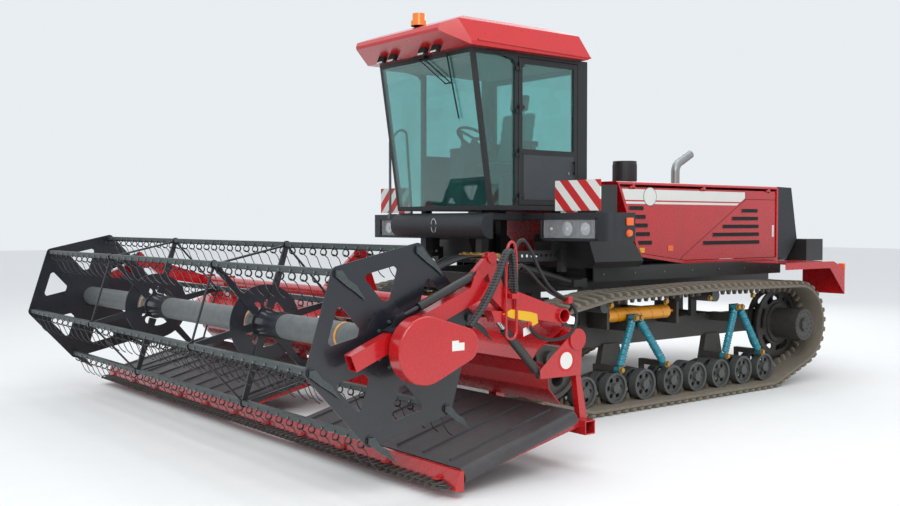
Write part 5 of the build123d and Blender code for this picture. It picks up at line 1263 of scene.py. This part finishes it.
wrapped_lines = [[(2.59, y, 1.30), (2.60, y, 1.48), (2.63, y + 0.004, 1.590), (2.68, y + 0.010, 1.560),
                  (2.76, y + 0.020, 1.40), (2.90, y + 0.030, 1.20), (3.02, y + 0.040, 1.095)]
                 for y in (2.952, 2.985)]
hose_spiral = surface("spiral_wrapped_hose", "2A2C2D", "3A3C3D", 0.45, ripple_mm=4)
tree = hose_spiral.node_tree
hose_place = add(tree, "ShaderNodeTexCoord").outputs["Object"]
turns = add(tree, "ShaderNodeTexWave", {"Vector": hose_place, "Scale": 17.0}, bands_direction="Z")
grooves = add(tree, "ShaderNodeBump", {"Height": turns.outputs["Fac"], "Strength": 1.0, "Distance": 0.006})
tree.links.new(grooves.outputs["Normal"], tree.nodes["Principled BSDF"].inputs["Normal"])
hose = free_piece("wrapped_hoses", [tube(line, 0.0165, sides=2, smoothness=8) for line in wrapped_lines],
                  hose_spiral)
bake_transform(hose)
print("wrapped hoses", len(wrapped_lines))

# %% [markdown]
# The arm's own hoses ride with it. They arch back from the hoop over the arm and come down towards its
# rear end, and three small clamps hold them. They cross no joint, so they ride on the arm whole.

# %% Arm hoses and clamps
loops = [
    [(2.59, 2.930, 1.28), (2.57, 2.925, 1.48), (2.53, 2.92, 1.62), (2.46, 2.915, 1.66), (2.38, 2.91, 1.57),
     (2.28, 2.905, 1.40), (2.16, 2.905, 1.27), (2.04, 2.92, 1.22)],
    [(2.60, 2.900, 1.24), (2.56, 2.900, 1.40), (2.48, 2.895, 1.49), (2.38, 2.89, 1.43), (2.26, 2.89, 1.32),
     (2.14, 2.895, 1.25), (2.03, 2.90, 1.21)],
    [(2.04, 2.92, 1.22), (1.98, 2.945, 1.16), (1.985, 2.965, 1.05), (2.06, 2.970, 0.97), (2.18, 2.970, 0.945),
     (2.32, 2.970, 0.955), (2.42, 2.965, 1.01), (2.44, 2.955, 1.06)],
    [(2.04, 2.90, 1.21), (1.96, 2.90, 1.20), (1.93, 2.86, 1.15), (1.96, 2.80, 1.08)],
]
piece("arm_hoses", gathered([tube(line, 0.0125, sides=2, smoothness=8) for line in loops]), hose_rubber,
      "reel_arms", "belt_rubber", smooth=60)
clamps = box(bmesh.new(), (2.010, 2.880, 1.190), (2.050, 2.945, 1.240))
box(clamps, (2.420, 2.940, 1.040), (2.455, 2.962, 1.085))
box(clamps, (2.575, 2.940, 1.255), (2.635, 3.000, 1.290))
piece("hose_clamps", clamps, red_enamel, "reel_arms", "red_paint", bevel=0.003)
print("arm hoses", len(loops))

# %% [markdown]
# Five quick couplers stand in a row under the cab's front, and a hose runs from each to the header. The
# header rises on its lift arms, and this bundle rides on no body.

# %% Couplers and the hose bundle
couplers, coupler_caps, bundle = bmesh.new(), bmesh.new(), []
coupler_stations = (0.50, 0.61, 0.72, 0.83, 0.94)
for y in coupler_stations:
    disc(couplers, (0.955, y, 1.452), (1.075, y, 1.452), 0.024, sides=6)
    disc(couplers, (0.985, y, 1.452), (1.030, y, 1.452), 0.034, sides=20)
    disc(coupler_caps, (0.900, y, 1.452), (0.955, y, 1.452), 0.017, sides=16)
    box(coupler_caps, (0.870, y - 0.030, 1.425), (0.905, y + 0.030, 1.480))
piece("brass_couplers", couplers, yellow_zinc, "chassis", "brass_fittings", bevel=0.002)
piece("coupler_stems", coupler_caps, zinc, "chassis", "grey_steel", bevel=0.002)
for i, y in enumerate(coupler_stations):
    end_y = 0.46 + 0.035 * i
    line = [(1.070, y, 1.452), (1.22, y, 1.46), (1.42, y * 0.9 + 0.05, 1.36 + 0.02 * i),
            (1.66, end_y + 0.05, 1.24), (1.84, end_y, 1.20), (1.95, end_y, 1.17), (1.97, end_y, 1.135)]
    bundle.append(tube(line, 0.012, sides=2, smoothness=6))
bundle_hoses = free_piece("hose_bundle", bundle, hose_rubber)
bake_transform(bundle_hoses)
print("couplers and bundle hoses", len(coupler_stations))

# %% [markdown]
# Small signs and fittings finish the header: the yellow prop that locks the raised reel, a blank speed
# disc with a red ring, blank labels, and on the reel tube its dark sleeves and amber transport bands.

# %% Header fittings
prop = plate(bmesh.new(), [(2.676, 1.150), (2.600, 1.180), (2.420, 1.152), (2.362, 1.136), (2.352, 1.072),
                           (2.405, 1.052), (2.428, 1.086), (2.600, 1.120)], 2.9405, 0.012)
piece("reel_prop_lock", prop, yellow_film, "reel_arms", "amber_paint", bevel=0.002)

disc_red, disc_white = bmesh.new(), bmesh.new()
for side in (1, -1):
    disc(disc_red, (2.087, side * 2.9580, 0.790), (2.087, side * 2.9595, 0.790), 0.080, sides=48)
    disc(disc_white, (2.087, side * 2.9595, 0.790), (2.087, side * 2.9605, 0.790), 0.060, sides=48)
piece("speed_disc_rim", disc_red, red_film, "header", "board_red_white")
piece("speed_disc_face", disc_white, white_film, "header", "board_red_white")

label = plate(bmesh.new(), [(2.400, 1.010), (2.480, 0.985), (2.484, 1.040), (2.404, 1.065)], 2.9402, 0.001)
piece("arm_label", label, white_film, "reel_arms", "board_red_white")
label = plate(bmesh.new(), [(3.115, 0.955), (3.215, 0.955), (3.215, 1.020), (3.115, 1.020)], 3.0799, 0.0003)
piece("cover_label", label, white_film, "reel_carriage", "board_red_white")
label = plate(bmesh.new(), [(3.115, 1.005), (3.160, 1.005), (3.160, 1.020), (3.115, 1.020)], 3.0801, 0.0003)
piece("cover_label_stripe", label, red_film, "reel_carriage", "board_red_white")

sleeves, bands, tube_radius = bmesh.new(), bmesh.new(), 0.094
for y in (-1.057, 1.057):
    ring(sleeves, reel_axle, 0.112, tube_radius, y - 0.090, y - 0.004)
    ring(sleeves, reel_axle, 0.104, tube_radius, y + 0.004, y + 0.330)
    ring(bands, reel_axle, 0.0975, tube_radius, y - 0.175, y - 0.150)
ring(bands, reel_axle, 0.0975, tube_radius, 2.20, 2.225)
piece("reel_tube_sleeves", sleeves, reel_enamel, "reel", "reel_black", bevel=0.002)
piece("reel_tube_bands", bands, amber_paint, "reel", "amber_paint")

plate_bolts = []
for side in (1, -1):
    plate_bolts += on_circle(reel_axle, 0.150, side * 2.788, 10, facing=side)
bolts = repeated(spot_tree, hex_bolt(0.022, 0.012), spots(plate_bolts), zinc)
piece("end_plate_bolts", bolts, zinc, "reel", "grey_steel")
print("end plate bolts", len(plate_bolts))

# %% [markdown]
# The air intake is a moulded cap with upright ribs all round, which keep straw off its slots. A row of
# small zinc bolts runs along each side sill, and each bolt faces outwards.

# %% Intake ribs and sill bolts
ribs, rib_count, rib_circle = bmesh.new(), 24, 0.1295
for k in range(rib_count):
    a = 2 * math.pi * k / rib_count
    x, y = -1.29 + rib_circle * math.cos(a), 0.45 + rib_circle * math.sin(a)
    box(ribs, (x - 0.004, y - 0.004, 2.225), (x + 0.004, y + 0.004, 2.405), turn=Matrix.Rotation(a, 4, "Z"))
piece("intake_ribs", ribs, bumper_abs, "chassis", "cab_plastic", bevel=0.001)

sheet_bolts = []
for side in (1, -1):
    for k in range(7):
        sheet_bolts.append(((-3.05 + 0.46 * k, side * 1.0802, 1.255), (-math.pi / 2 * side, 0.0, 0.0)))
shown = repeated(spot_tree, hex_bolt(0.018, 0.008), spots(sheet_bolts), zinc)
piece("sill_bolts", shown, zinc, "chassis", "grey_steel")
print("intake ribs", rib_count, "sill bolts", len(sheet_bolts))
